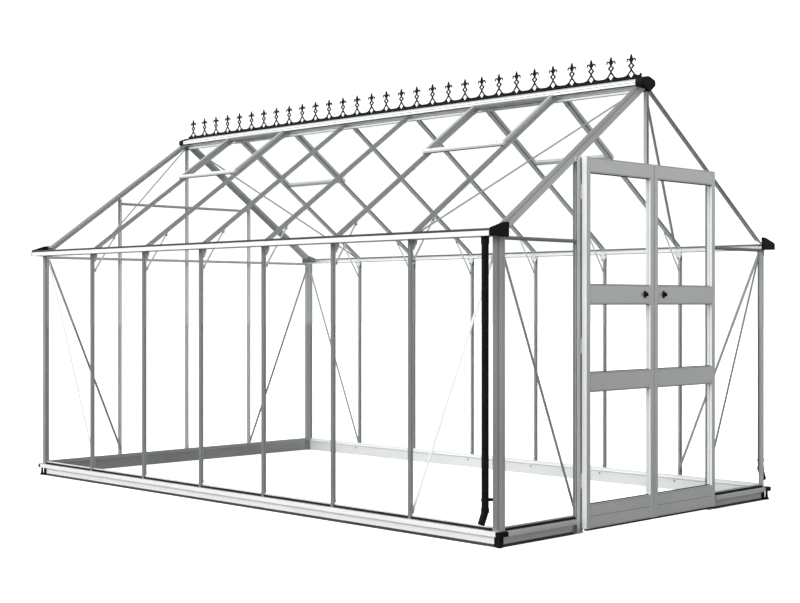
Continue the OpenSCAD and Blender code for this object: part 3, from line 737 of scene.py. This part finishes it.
# ---------------------------------------------------------------- downpipes
pc = Piece("Downpipes")
for sx in (-1, 1):
    cx, cy = sx * (HW + 34), YF + 66
    an = math.radians(26)
    path = [(cx, cy, EAVE - 0.4), (cx, cy, 1300), (cx, cy, 900), (cx, cy, 500), (cx, cy, 215)]
    # smooth bend, then the straight outlet
    for k in range(0, 9):
        a = an * k / 8
        R = 70
        path.append((cx + sx * R * (1 - math.cos(a)), cy, 197 - R * math.sin(a)))
    px, py, pz = path[-1]
    tip = (px + sx * math.sin(an) * 54, cy, pz - math.cos(an) * 54)
    path.append(((px + tip[0]) / 2, cy, (pz + tip[2]) / 2))
    path.append(tip)
    tube(pc, path, 18.8, "black", 28, 3.0)
    lathe(pc, [(19.2, 0), (21.6, 0.8), (21.6, 11), (20.4, 11.6), (20.4, 13), (21.6, 13.6), (21.6, 23.2), (19.2, 24)], (cx, cy, 175), (0, 0, 1), "black", 32)
    lathe(pc, [(19.2, 0), (21.4, 1), (21.4, 30), (23.0, 34), (23.0, 40)], (cx, cy, EAVE - 40.4), (0, 0, 1), "black", 32)
    lathe(pc, [(19.2, 0), (21.2, 1), (21.2, 15), (19.2, 16)], (cx, cy, 234), (0, 0, 1), "black", 32)
    # clip arm to the corner post and its knob
    ang = math.radians(-36.5)
    ux, uy = math.cos(ang), math.sin(ang)

    def arm(u, w, z, cx=cx, cy=cy, sx=sx):
        return (cx - sx * (u * ux - w * uy), cy + u * uy + w * ux, z)
    plate(pc, rounded([(16, -3), (36, -3), (36, 3), (16, 3)], [0, 2, 2, 0]), 234, 250, arm, "black", bevel=0.8)
    k = arm(31, 0, 242)
    lathe(pc, [(6.0, -7), (8.2, -6), (8.6, 0), (8.2, 6), (6.0, 7)], k, (0, 1, 0), "black", 18)
pc.build("frame", ["downpipes"])

# ---------------------------------------------------------------- ridge
pc = Piece("Ridge_bar")
t, e = RIDGE + 13, RIDGE - 7
right = [(56, e + 0.7), (58.6, e - 0.6), (60, e - 4), (60, e - 9), (59.2, e - 9.5), (59.2, e - 11), (60, e - 11.5), (60, RIDGE - 31), (59.2, RIDGE - 32), (57.5, RIDGE - 32),
         (57, RIDGE - 31), (57, e - 5), (12, t - 7), (12, RIDGE - 26), (11.2, RIDGE - 26.6), (11.2, RIDGE - 28.4), (12, RIDGE - 29),
         (12, RIDGE - 50), (11.2, RIDGE - 50.6), (11.2, RIDGE - 52.4), (12, RIDGE - 53), (12, FOOT + 1), (11, FOOT)]
prof = [(0, t)] + right + [(-p[0], p[1]) for p in reversed(right)]
# ridge in the lit copy of aluminium (painted highlight), with painted shade in its notches and on the small steps of
# its edges
plate(pc, prof, YF, YR, lambda x, z, tt: (x, tt, z), "alu_light",
      seg_mat=lambda p, q: "alu_painted_shade" if (abs(abs(p[0]) - abs(q[0])) > 0.3 and abs(abs(p[0]) - abs(q[0])) < 1.2 and p[1] < RIDGE - 8) or (abs(p[0]) < 11.5 and abs(q[0]) < 11.5 and p[1] > FOOT + 2) or (58 < abs(p[0]) < 59.5 and 58 < abs(q[0]) < 59.5) else None)
pc.build("frame", ["ridge_bar"])


def catmull(pts, seg=4):
    """Smooth closed curve through the points."""
    out = []
    n = len(pts)
    for i in range(n):
        p0, p1, p2, p3 = (Vector(pts[(i + k) % n]) for k in (-1, 0, 1, 2))
        for k in range(seg):
            u = k / seg
            q = 0.5 * ((2 * p1) + (p2 - p0) * u + (2 * p0 - 5 * p1 + 4 * p2 - p3) * u * u + (3 * p1 - p0 - 3 * p2 + p3) * u ** 3)
            out.append((q.x, q.y))
    return out


def smooth_open(pts, seg=4):
    """Smooth curve through the points, ends kept."""
    out = []
    n = len(pts)
    for i in range(n - 1):
        p0, p1, p2, p3 = Vector(pts[max(i - 1, 0)]), Vector(pts[i]), Vector(pts[i + 1]), Vector(pts[min(i + 2, n - 1)])
        for k in range(seg):
            u = k / seg
            q = 0.5 * ((2 * p1) + (p2 - p0) * u + (2 * p0 - 5 * p1 + 4 * p2 - p3) * u * u + (3 * p1 - p0 - 3 * p2 + p3) * u ** 3)
            out.append((q.x, q.y))
    out.append(tuple(pts[-1]))
    return out


def sym(half):
    """Closed outline from its right half, foot to tip (both on x = 0)."""
    return half + [(-p[0], p[1]) for p in reversed(half[1:-1])]


pc = Piece("Ridge_cresting")
Z0 = RIDGE + 13
y0 = YM + 10 - 29 / 2 * 144.45
ys = [y0 + i * 144.45 for i in range(30)]
# strip with shallow scallops between the finials, and the lattice that rises from it
yA, yB = y0 - 72, y0 + 29 * 144.45 + 60
line = [(yA, Z0), (yB, Z0), (yB, Z0 + 21)]
lat = smooth_open([(44, 22.6), (34, 26), (27, 30.5), (21, 37), (14, 45.5), (8, 53.5), (3.8, 60), (8.5, 66), (15, 73), (21.5, 80), (15, 87), (9, 92.5), (4.8, 96.5)], 3)
body = smooth_open([(4.8, 96.5), (6.4, 100.5), (9.6, 105.5), (13.4, 110.8), (17, 114.8), (21, 116.4), (24.4, 114.6), (26.8, 110), (27.8, 104.6), (30.8, 103.8), (31.8, 109.4), (30.6, 116.4), (26.6, 122),
                    (21.2, 123.8), (16.2, 121.8), (12.4, 117.6), (9.8, 112.6), (10.0, 118.4), (9.4, 124.4), (7.4, 131.6), (4.6, 139), (2.2, 144.8), (0, 148)], 3)
right = lat[:-1] + body
for y in reversed(ys):
    line.append((y + 56, Z0 + 20.8))
    line += [(y + p[0], Z0 + p[1]) for p in right]
    line += [(y - p[0], Z0 + p[1]) for p in reversed(right[:-1])]
    line.append((y - 56, Z0 + 20.8))
line += [(yA + 12, Z0 + 23), (yA + 10, Z0 + 31), (yA + 2, Z0 + 31), (yA, Z0 + 28)]
holes = []
for y in ys:
    dia = rounded([(18.4, 29.5), (0, 50), (-18.4, 29.5), (0, 9)], 2.5, 2)
    rg = rounded([(11, 80), (0, 92.4), (-11, 80), (0, 67)], 2, 2)
    holes.append([(y + p[0], Z0 + p[1]) for p in dia])
    holes.append([(y + p[0], Z0 + p[1]) for p in rg])
plate(pc, line, -3, 3, lambda y, z, t: (t, y, z), "black", holes=holes)
pc.build("frame", ["ridge_cresting"], smooth=40)

# ---------------------------------------------------------------- roof
pc = Piece("Gable_rafters")
for sx in (-1, 1):
    for d in (1, -1):
        yc = YF if d > 0 else YR

        def pl(b, n, s, sx=sx, d=d, yc=yc):
            return slope_pt(sx, s, yc + d * b, n)
        s0, s1 = 58, (HW - 14 - 33 * ST) / CT
        face = grooves((47, 0), (0, -28), [(6, 2.6, 1.2), (14, 2.2, 1.0), (23, 8, 1.6), (33, 2.2, 1.0), (44, 3.0, 1.4)], 1)
        prof = [(0, -33)] + list(reversed(face)) + [(53, 0), (54, -1), (54, -6), (49, -6), (6, -33)]
        if d < 0:
            top = grooves((0, 0), (54, 0), [(8, 2.2, 1.0), (27, 8, 1.2), (46, 2.2, 1.0)], -1)
            box = [(0, -33)] + top + [(54, -21), (32, -33)]
            cav = [(3, -30), (3, -3), (51, -3), (51, -19), (31, -30)]
            # painted shade: the bottoms of the top grooves get the darker copy of aluminium
            plate(pc, box, s0, s1, pl, "alu_mid", holes=[cav],
                  seg_mat=lambda p, q: "alu_painted_soft_shade" if p[1] < -0.4 and q[1] < -0.4 and p[1] > -1.9 and q[1] > -1.9 and p[0] > 0.5 and p[0] < 53.5 else None)
            continue
        # painted shade: the bottoms of the face grooves get the darker copy of aluminium
        plate(pc, prof, s0, s1, pl, "alu_mid",
              seg_mat=lambda p, q: "alu_painted_soft_shade" if (0.5 < (p[0] * 28 - (p[1] + 28) * 47) / 54.7 and 0.5 < (q[0] * 28 - (q[1] + 28) * 47) / 54.7 and max(p[0], q[0]) < 47 and min(p[0], q[0]) > 0.5 and (p[0] * 28 - (p[1] + 28) * 47) / 54.7 < 3) else None)
pc.build("frame", ["gable_rafters"])

ROOF_TEE = [(p[1], -p[0]) for p in TEE]
for sx, nm in ((-1, "left"), (1, "right")):
    pc = Piece("Roof_bars_" + nm)
    for y in BARS:
        pl = slope_along(sx, y)
        s0, s1 = 20, (HW - 14 - 27 * ST) / CT
        # painted shade: the bar's upper cap face gets the darker cap copy of aluminium
        plate(pc, ROOF_TEE, s0, s1, pl, "aluminium",
              seg_mat=lambda p, q: "cap" if min(p[1], q[1]) > -2.5 else None)
        for s in (1, -1):
            plate(pc, [(s * p[1], -p[0]) for p in GASKET], s0 + 4, s1 - 24, pl, "seal")
        # nuts at the eaves, at the middle and at the ridge
        for ss in (70, 800, 1470):
            o = slope_pt(sx, ss, y, -27)
            bolt(pc, o, (-sx * ST, 0, -CT))
    pc.build("frame", ["roof_bars_" + nm])

V0, V1 = 932, 1500
for sx, nm in ((-1, "left"), (1, "right")):
    pc = Piece("Roof_vents_" + nm)
    for k in (0, 4):
        y0v, y1v = BARS[k] - 11, BARS[k] + PITCH + 11
        pf = slope_flat(sx)
        # side members: profile (y, n), pushed along the slope
        for ya, d in ((y0v, 1), (y1v, -1)):
            prof = [(0, 0.5), (0, 4), (0.8, 4.6), (0.8, 6), (0, 6.6), (0, 19.5), (1, 20.5), (7, 20.5), (8, 19.5), (9, 19.5), (10, 20.5), (21, 20.5), (22, 19.5), (22, 13), (19, 12.4), (19, 8.6), (22, 8), (22, 0.5)]
            plate(pc, [(ya + d * p[0], p[1]) for p in prof], V0 + 29.4, V1 - 21.4, lambda y, n, s, sx=sx: slope_pt(sx, s, y, n), "aluminium")
        # lower member, wide, in the lit copy of aluminium (painted highlight), with painted shade on its rolled foot
        low = [(V0, 0.5), (V0, 3.5), (V0 + 1.6, 4.4), (V0 + 1.6, 6), (V0, 6.8), (V0, 19), (V0 + 1.5, 20.5), (V0 + 12, 20.5), (V0 + 13, 19.5), (V0 + 14.5, 19.5),
               (V0 + 15.5, 20.5), (V0 + 29, 20.5), (V0 + 30, 19.5), (V0 + 30, 0.5)]
        plate(pc, low, y0v, y1v, lambda s, n, t, sx=sx: slope_pt(sx, s, t, n), "alu_light",
              seg_mat=lambda p, q: "alu_painted_shade" if max(p[1], q[1]) < 6.9 and max(p[0], q[0]) < V0 + 3 else None)
        # top member with the hinge roll
        topm = [(V1 - 22, 0.5), (V1 - 22, 19.5), (V1 - 21, 20.5), (V1 - 9, 20.5), (V1 - 7, 17), (V1 - 1.5, 16), (V1, 13), (V1, 6), (V1 - 2, 3), (V1 - 6, 2), (V1 - 7, 0.5)]
        plate(pc, topm, y0v, y1v, lambda s, n, t, sx=sx: slope_pt(sx, s, t, n), "alu_mid")
        for yy in (y0v + 60, y1v - 60):
            bolt(pc, slope_pt(sx, V0 + 22, yy, 20.0), (sx * ST, 0, CT), 3.2, 1.4)
    pc.build("frame", ["roof_vents_" + nm])

# ---------------------------------------------------------------- braces
pc = Piece("Wall_braces")
z0b, z1b, hb = SILL + 22, EAVE - 40, 22


def strap(pc, place, u0, v0, u1, v1, h, t0, t1, mat="strip"):
    pts = rounded([(u0, v0 - h), (u1, v1 - h), (u1, v1 + h), (u0, v0 + h)], 1.5)
    plate(pc, pts, t0, t1, place, mat, bevel=0.5)


for sx in (-1, 1):
    f = lambda u, v, t, sx=sx: (sx * (HW - t), u, v)
    for ya, yb in ((YF + 46, BARS[0]), (YR - 46, BARS[5])):
        # the left wall's braces get the lit copy of aluminium (painted highlight), the right wall's the plain strip
        # finish
        strap(pc, f, ya, z1b, yb, z0b, hb, 31, 34, "alu_light" if sx < 0 else "strip")
        d = 1 if yb > ya else -1
        bolt(pc, f(ya + d * 8, z1b - 8 * (z1b - z0b) / abs(yb - ya) + 0, 34), (-sx, 0, 0))
        bolt(pc, f(yb - d * 6, z0b + 6 * (z1b - z0b) / abs(yb - ya), 34), (-sx, 0, 0))
    for xa, xb, yy, s in ((-HW + 46, -DX - 8, YF, 1), (-HW + 46, -PITCH, YR, -1)):
        g = lambda u, v, t, sx=sx, yy=yy, s=s: (-sx * u, yy + s * t, v)
        strap(pc, g, xa, z1b, xb, z0b, hb, 31, 34)
        kk = (z1b - z0b) / abs(xb - xa)
        bolt(pc, g(xa + 8, z1b - 8 * kk, 34), (0, s, 0))
        bolt(pc, g(xb - 6, z0b + 6 * kk, 34), (0, s, 0))
pc.build("frame", ["wall_braces"])

pc = Piece("Roof_braces")
for sx in (-1, 1):
    for ya, yb in ((YF + 55, BARS[0]), (YR - 55, BARS[5])):
        plate(pc, rounded([(1466, ya), (1510, ya), (89, yb), (45, yb)], 1.2), -31, -28, slope_flat(sx), "strip", bevel=0.5)
        for s_, y_ in ((1478, ya + (7 if yb > ya else -7)), (78, yb - (7 if yb > ya else -7))):
            bolt(pc, slope_pt(sx, s_, y_, -31), (-sx * ST, 0, -CT))
pc.build("frame", ["roof_braces"])

pc = Piece("Knee_braces")
for sx in (-1, 1):
    for y in BARS:
        b, a = 208, 188
        pts = [(27, 1450), (b, ROOF + KX * b - BDROP - 0.2), (a, ROOF + KX * a - BDROP - 0.2), (27, 1474)]
        # knee braces in the lit copy of aluminium: painted highlight
        plate(pc, rounded(pts, 1.5), y - 2, y + 2, wall(sx), "alu_light", bevel=0.5)
        bolt(pc, wall(sx)(36, 1470, y - 2), (0, -1, 0))
        bolt(pc, wall(sx)(190, ROOF + KX * 190 - BDROP - 12, y - 2), (0, -1, 0))
pc.build("frame", ["knee_braces"])

# ---------------------------------------------------------------- glass


def pane(pc, outline, t0, t1, place):
    plate(pc, outline, t0, t1, place, "glass", rim="edge", bevel=0.35, cap="glass")


gap = 2.5


def rect(a0, a1, b0, b1):
    return [(a0, b0), (a1, b0), (a1, b1), (a0, b1)]


G0 = BASE + 6
for sx, nm in ((-1, "left"), (1, "right")):
    pc = Piece("Wall_glass_" + nm)
    for k in range(7):
        lo = YF + 47 if k == 0 else BARS[k - 1] + gap
        hi = YR - 47 if k == 6 else BARS[k] - gap
        pane(pc, rect(lo, hi, G0, EAVE - 3), 4, 7, lambda y, z, t, sx=sx: (sx * (HW - t), y, z))
    pc.build("frame", ["wall_glass_" + nm])

RLO, RHI = EAVE - 9.5, EAVE - 4.5


def raked(pc, f, x0, x1, z0, mm):
    t0 = (z0 + 3 - ROOF + RDROP + 1) / KX
    xa = max(x0, -HW + t0)
    zc = FOOT - 0.5
    xc = (zc + 1 - ROOF + RDROP) / KX - HW
    top = [(x1, zc), (xc, zc)] if x1 > xc else [(x1, raf_under(-x1) - 1)]
    pts = [(xa, z0), (x1, z0)] + top + [(xa, raf_under(-xa) - 1)]
    pane(pc, [(mm * p[0], p[1]) for p in pts], 4, 7, f)


ff = lambda x, z, t: (x, YF + t, z)
fr_ = lambda x, z, t: (x, YR - t, z)
pc = Piece("Wall_glass_front")
for m in (1, -1):
    pane(pc, [(m * p[0], p[1]) for p in rect(-HW + 47, -DX - 34, G0, RLO)], 4, 7, ff)
pc.build("frame", ["wall_glass_front"])
pc = Piece("Wall_glass_rear")
for m in (1, -1):
    pane(pc, [(m * p[0], p[1]) for p in rect(-HW + 47, -PITCH - gap, G0, RLO)], 4, 7, fr_)
    pane(pc, [(m * p[0], p[1]) for p in rect(-PITCH + gap, -gap, G0, RLO)], 4, 7, fr_)
pc.build("frame", ["wall_glass_rear"])
pc = Piece("Gable_glass_front")
for m in (1, -1):
    raked(pc, ff, -HW + 47, -DX - 34, RHI, m)
    raked(pc, ff, -HW, -gap, LTOP + 1, m)
pc.build("frame", ["gable_glass_front"])
pc = Piece("Gable_glass_rear")
for m in (1, -1):
    raked(pc, fr_, -HW + 47, -PITCH - gap, RHI, m)
    pane(pc, [(m * p[0], p[1]) for p in rect(-PITCH + gap, -gap, RHI, 1996 - gap)], 4, 7, fr_)
    raked(pc, fr_, -PITCH + gap, -gap, 1996 + gap, m)
pc.build("frame", ["gable_glass_rear"])
for sx, nm in ((-1, "left"), (1, "right")):
    pc = Piece("Roof_glass_" + nm)
    for k in range(7):
        lo = YF + 55 if k == 0 else BARS[k - 1] + gap
        hi = YR - 55 if k == 6 else BARS[k] - gap
        s1 = V0 + 26 if k in (1, 5) else 1512
        pane(pc, rect(-6, s1, lo, hi), -7, -4, slope_flat(sx))
    pc.build("frame", ["roof_glass_" + nm])
pc = Piece("Vent_glass")
for sx in (-1, 1):
    for k in (0, 4):
        pane(pc, rect(V0 + 30, V1 - 22, BARS[k] + 11, BARS[k] + PITCH - 11), 9, 12, slope_flat(sx))
pc.build("frame", ["vent_glass"])

# ---------------------------------------------------------------- hinges
HZ = (242, 972, 1802)


def screw(pc, x, y, z, axis=(0, -1, 0), r=3.6, mat="steel"):
    lathe(pc, [(r, 0), (r, 0.5), (r * 0.8, 1.3), (r * 0.35, 1.7)], (x, y, z), axis, mat, 14)


pc = Piece("Door_hinges")
for m in (1, -1):
    for z in HZ:
        lathe(pc, [(3.0, 0), (4, 0.8), (4, 39.2), (3.4, 40)], (m * -PINX, PINY, z), (0, 0, 1), "door_alu", 20)
        pts = rounded([(-PINX - 20, z), (-PINX, z), (-PINX, z + 40), (-PINX - 20, z + 40)], [3, 0, 0, 3])
        plate(pc, [(m * p[0], p[1]) for p in pts], YF - 5.5, YF - 4, lambda x, zz, t: (x, t, zz), "door_alu", bevel=0.3)
        for dz in (9, 31):
            screw(pc, m * (-PINX - 13), YF - 5.4, z + dz)
pc.build("frame", ["door_hinges"])

# ---------------------------------------------------------------- doors
LW, SW = 619.0, 33.0
RAILS = ((26, 156), (764, 868), (1237.5, 1343), (1947.5, LTOP))
for m, nm in ((1, "left"), (-1, "right")):
    body = "door_" + nm

    def pl(x, y, z, m=m):
        return (m * x, y, z)
    X0, X1 = -DX, -DX + LW
    pc = Piece("Door_%s_stiles" % nm)
    for xa in (X0, X1 - SW):
        fcuts = [(5, 1.6, 1.2), (SW - 5, 1.6, 1.2)]
        face = grooves((xa + 1, LEAF0), (xa + SW - 1, LEAF0), fcuts, 1)
        back = grooves((xa + SW - 1, LEAF1), (xa + 1, LEAF1), fcuts, 1)
        prof = [(xa, LEAF0 + 1)] + face + [(xa + SW, LEAF0 + 1), (xa + SW, LEAF1 - 1)] + back + [(xa, LEAF1 - 1)]
        # painted shade at the bottoms of the face grooves, painted highlight on the stile's side faces
        plate(pc, prof, 26, LTOP, pl, "door_alu",
              seg_mat=lambda p, q: "alu_painted_shade" if (LEAF0 + 1.1 < p[1] < LEAF0 + 2.4 and LEAF0 + 1.1 < q[1] < LEAF0 + 2.4) else ("alu_light" if abs(p[0] - q[0]) < 0.01 and abs(p[1] - q[1]) > 10 else None))
        # black end plugs
        plate(pc, rounded(rect(xa + 2, xa + SW - 2, LEAF0 + 3, LEAF1 - 3), 2), 24.6, 26, pl, "rubber")
    for z in HZ:
        lathe(pc, [(3.4, 0), (4, 0.8), (4, 39.2), (3.0, 40)], (m * -PINX, PINY, z + 40.3), (0, 0, 1), "door_alu", 20)
        plate(pc, rect(-PINX, X0 + 0.4, PINY - 4, PINY - 1), z + 40.3, z + 80.3, pl, "door_alu")
        screw(pc, m * (X0 + 12), LEAF0 + 0.2, z + 50, r=3)
        screw(pc, m * (X0 + 12), LEAF0 + 0.2, z + 70, r=3)
    # dark sweep under the leaf
    plate(pc, rounded(rect(X0 + 3, X1 - 3, LEAF0 + 2, LEAF0 + 8), 1), 16, 24.5, pl, "rubber")
    # soft seal on the meeting stile
    plate(pc, rounded(rect(X1 - 0.2, X1 + 1.6, LEAF0 + 12, LEAF0 + 20), 0.7), 30, LTOP - 4, pl, "rubber")
    pc.build(body, ["door_%s_stiles" % nm])

    pc = Piece("Door_%s_rails" % nm)
    xa, xb = X0 + SW + 0.4, X1 - SW - 0.4
    for i, (za, zb) in enumerate(RAILS):
        h = zb - za
        cuts = [(5, 1.8, 1.3), (h - 5, 1.8, 1.3)]
        if i == 0:
            cuts = [(5, 1.8, 1.3), (h * 0.5, 2.4, 1.2), (h - 5, 1.8, 1.3)]
        f0 = LEAF0 + 0.8
        f1 = LEAF1 - 0.8
        face = grooves((f0, zb - 1), (f0, za + 1), [(c[0] - 1, c[1], c[2]) for c in cuts], 1)
        back = grooves((f1, za + 1), (f1, zb - 1), [(c[0] - 1, c[1], c[2]) for c in cuts], 1)
        prof = [(f0 + 1, zb)] + face + [(f0 + 1, za), (f1 - 1, za)] + back + [(f1 - 1, zb)]
        # painted shade: the bottoms of the face grooves get the dark copy of aluminium
        plate(pc, prof, xa, xb, lambda y, z, t, m=m: (m * t, y, z), "door_alu",
              seg_mat=lambda p, q, f0=f0: "alu_painted_shade" if (f0 + 1.1 < p[0] < f0 + 2 and f0 + 1.1 < q[0] < f0 + 2) else None)
        for xx in (xa + 12, xb - 12):
            if i in (1, 2):
                screw(pc, m * xx, f0 + 0.1, za + 18, r=2.6)
                screw(pc, m * xx, f0 + 0.1, zb - 18, r=2.6)
        # glazing beads over and under the rail
        for zz, s in ((za, -1), (zb, 1)):
            if (i == 0 and s < 0) or (i == 3 and s > 0):
                continue
            lo, hi = sorted((zz, zz + s * 3.5))
            for ya, yb in ((LEAF0 + 12.4, LEAF0 + 15.7), (LEAF0 + 19.3, LEAF0 + 22.6)):
                plate(pc, rect(ya, yb, lo, hi), xa, xb, lambda y, z, t, m=m: (m * t, y, z), "rubber")
    # rubber sweep in a carrier under the leaf
    sweep = [(LEAF0 + 10, 26), (LEAF0 + 22, 26), (LEAF0 + 22, 21), (LEAF0 + 18, 20), (LEAF0 + 17, 15), (LEAF0 + 14.6, 15), (LEAF0 + 14, 20), (LEAF0 + 10, 21)]
    plate(pc, sweep, X0 + 2, X0 + LW - 2, lambda y, z, t, m=m: (m * t, y, z), "rubber")
    pc.build(body, ["door_%s_rails" % nm])

    pc = Piece("Door_%s_glass" % nm)
    for i in range(3):
        pane(pc, [(m * p[0], p[1]) for p in rect(X0 + SW + 0.2, X1 - SW - 0.2, RAILS[i][1] + 0.2, RAILS[i + 1][0] - 0.2)], LEAF0 + 16, LEAF0 + 19, lambda x, z, t: (x, t, z))
    pc.build(body, ["door_%s_glass" % nm])

    pc = Piece("Door_%s_handle" % nm)
    hx, hz = m * -91, 1292
    pts = [(24 / 2 * math.cos(a) * (1 if abs(math.cos(a)) < 2 else 1), 22 * math.sin(a)) for a in [2 * math.pi * i / 32 for i in range(32)]]
    plate(pc, [(hx + p[0], hz + p[1]) for p in pts], LEAF0 - 4.2, LEAF0 + 0.8, lambda x, z, t: (x, t, z), "black", bevel=1.2)
    lathe(pc, [(9.0, 0), (7.6, 2), (7.0, 4), (8.4, 6), (11, 7.5), (11.6, 9.5), (11.6, 12), (10.8, 14), (8.6, 15.2), (3.5, 15.8)], (hx, LEAF0 - 4, hz), (0, -1, 0), "black", 28)
    for dz in (-16, 16):
        screw(pc, hx, LEAF0 - 4.0, hz + dz, r=2.2, mat="steel")
    pc.build(body, ["door_%s_handle" % nm])

# ---------------------------------------------------------------- stage
sc = bpy.context.scene
fl = bpy.data.meshes.new("Studio_floor")
R = 60
fl.from_pydata([(-R, -R, -0.0015), (R, -R, -0.0015), (R, R, -0.0015), (-R, R, -0.0015)], [], [(0, 1, 2, 3)])
floor = bpy.data.objects.new("Studio_floor", fl)
sc.collection.objects.link(floor)
m, nt, bs, N, L = new_mat("studio_floor")
tc = N.new("ShaderNodeTexCoord")
nz = N.new("ShaderNodeTexNoise"); nz.inputs["Scale"].default_value = 0.8
L.new(tc.outputs["Object"], nz.inputs["Vector"])
rp = N.new("ShaderNodeValToRGB")
rp.color_ramp.elements[0].color = (0.93, 0.93, 0.93, 1)
rp.color_ramp.elements[1].color = (0.97, 0.97, 0.97, 1)
L.new(nz.outputs[0], rp.inputs[0])
flp = N.new("ShaderNodeLightPath")
fmix = N.new("ShaderNodeMix"); fmix.data_type = "RGBA"
L.new(flp.outputs["Is Camera Ray"], fmix.inputs["Factor"])
fmix.inputs["A"].default_value = (0.22, 0.22, 0.22, 1)
L.new(rp.outputs[0], fmix.inputs["B"])
L.new(fmix.outputs["Result"], bs.inputs["Base Color"])
L.new(math_node(nt, "MULTIPLY", flp.outputs["Is Camera Ray"], 0.78), bs.inputs["Emission Strength"])
bs.inputs["Roughness"].default_value = 0.95
bs.inputs["Specular IOR Level"].default_value = 0.0
bs.inputs["Emission Color"].default_value = (1, 1, 1, 1)
fl.materials.append(m)
floor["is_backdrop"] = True

w = bpy.data.worlds.new("studio")
sc.world = w
w.use_nodes = True
nt = w.node_tree
N, L = nt.nodes, nt.links
bg = N["Background"]
tc = N.new("ShaderNodeTexCoord")


def lobe(direction, power, amount):
    d = Vector(direction).normalized()
    vm = N.new("ShaderNodeVectorMath"); vm.operation = "DOT_PRODUCT"
    L.new(tc.outputs["Generated"], vm.inputs[0])
    vm.inputs[1].default_value = d
    x = math_node(nt, "MAXIMUM", vm.outputs["Value"], 0.0)
    return math_node(nt, "MULTIPLY", math_node(nt, "POWER", x, power), amount)


v = math_node(nt, "ADD", lobe((-0.80, 0.50, 0.15), 3, 0.95), 0.42)
v = math_node(nt, "ADD", v, lobe((0.6, -0.8, 0.0), 2, 0.30))
v = math_node(nt, "ADD", v, lobe((0, 0, 1), 2, 0.16))
v = math_node(nt, "SUBTRACT", v, lobe((0.7, 0.7, 0.15), 5, 0.12))
v = math_node(nt, "MAXIMUM", v, 0.04)
lp = N.new("ShaderNodeLightPath")
cam_ray = lp.outputs["Is Camera Ray"]
mixv = math_node(nt, "ADD", math_node(nt, "MULTIPLY", cam_ray, 1.25), math_node(nt, "MULTIPLY", math_node(nt, "SUBTRACT", 1.0, cam_ray), v))
bg.inputs["Color"].default_value = (1, 1, 1, 1)
L.new(mixv, bg.inputs["Strength"])

sun = bpy.data.lights.new("Key", "SUN")
sun.energy = 2.8
sun.angle = math.radians(30)
so = bpy.data.objects.new("Key", sun)
sc.collection.objects.link(so)
so.rotation_euler = Vector((1.0, 0.10, -0.38)).to_track_quat("-Z", "Y").to_euler()
so.visible_glossy = False

sc.view_settings.view_transform = "Standard"
sc.cycles.transparent_max_bounces = 48
sc.cycles.max_bounces = 6

cam = bpy.data.cameras.new("cam")
co = bpy.data.objects.new("cam", cam)
sc.collection.objects.link(co)
sc.camera = co
a = math.radians(44.8085)
co.location = (-6.7592, -6.9711, 1.2400)
co.rotation_euler = Vector((math.sin(a), math.cos(a), 0)).to_track_quat("-Z", "Y").to_euler()
cam.sensor_width = 36
cam.lens = 1431.63 * 36 / 800
cam.shift_y = 2.05 / 800
cam.clip_end = 500

BOX1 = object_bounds()
for tag, bb in (("after_load", BOX0), ("before_finish", BOX1)):
    "%s low %s\n" % (tag, " ".join("%.5f" % c for c in bb[0]))
    "%s high %s\n" % (tag, " ".join("%.5f" % c for c in bb[1]))
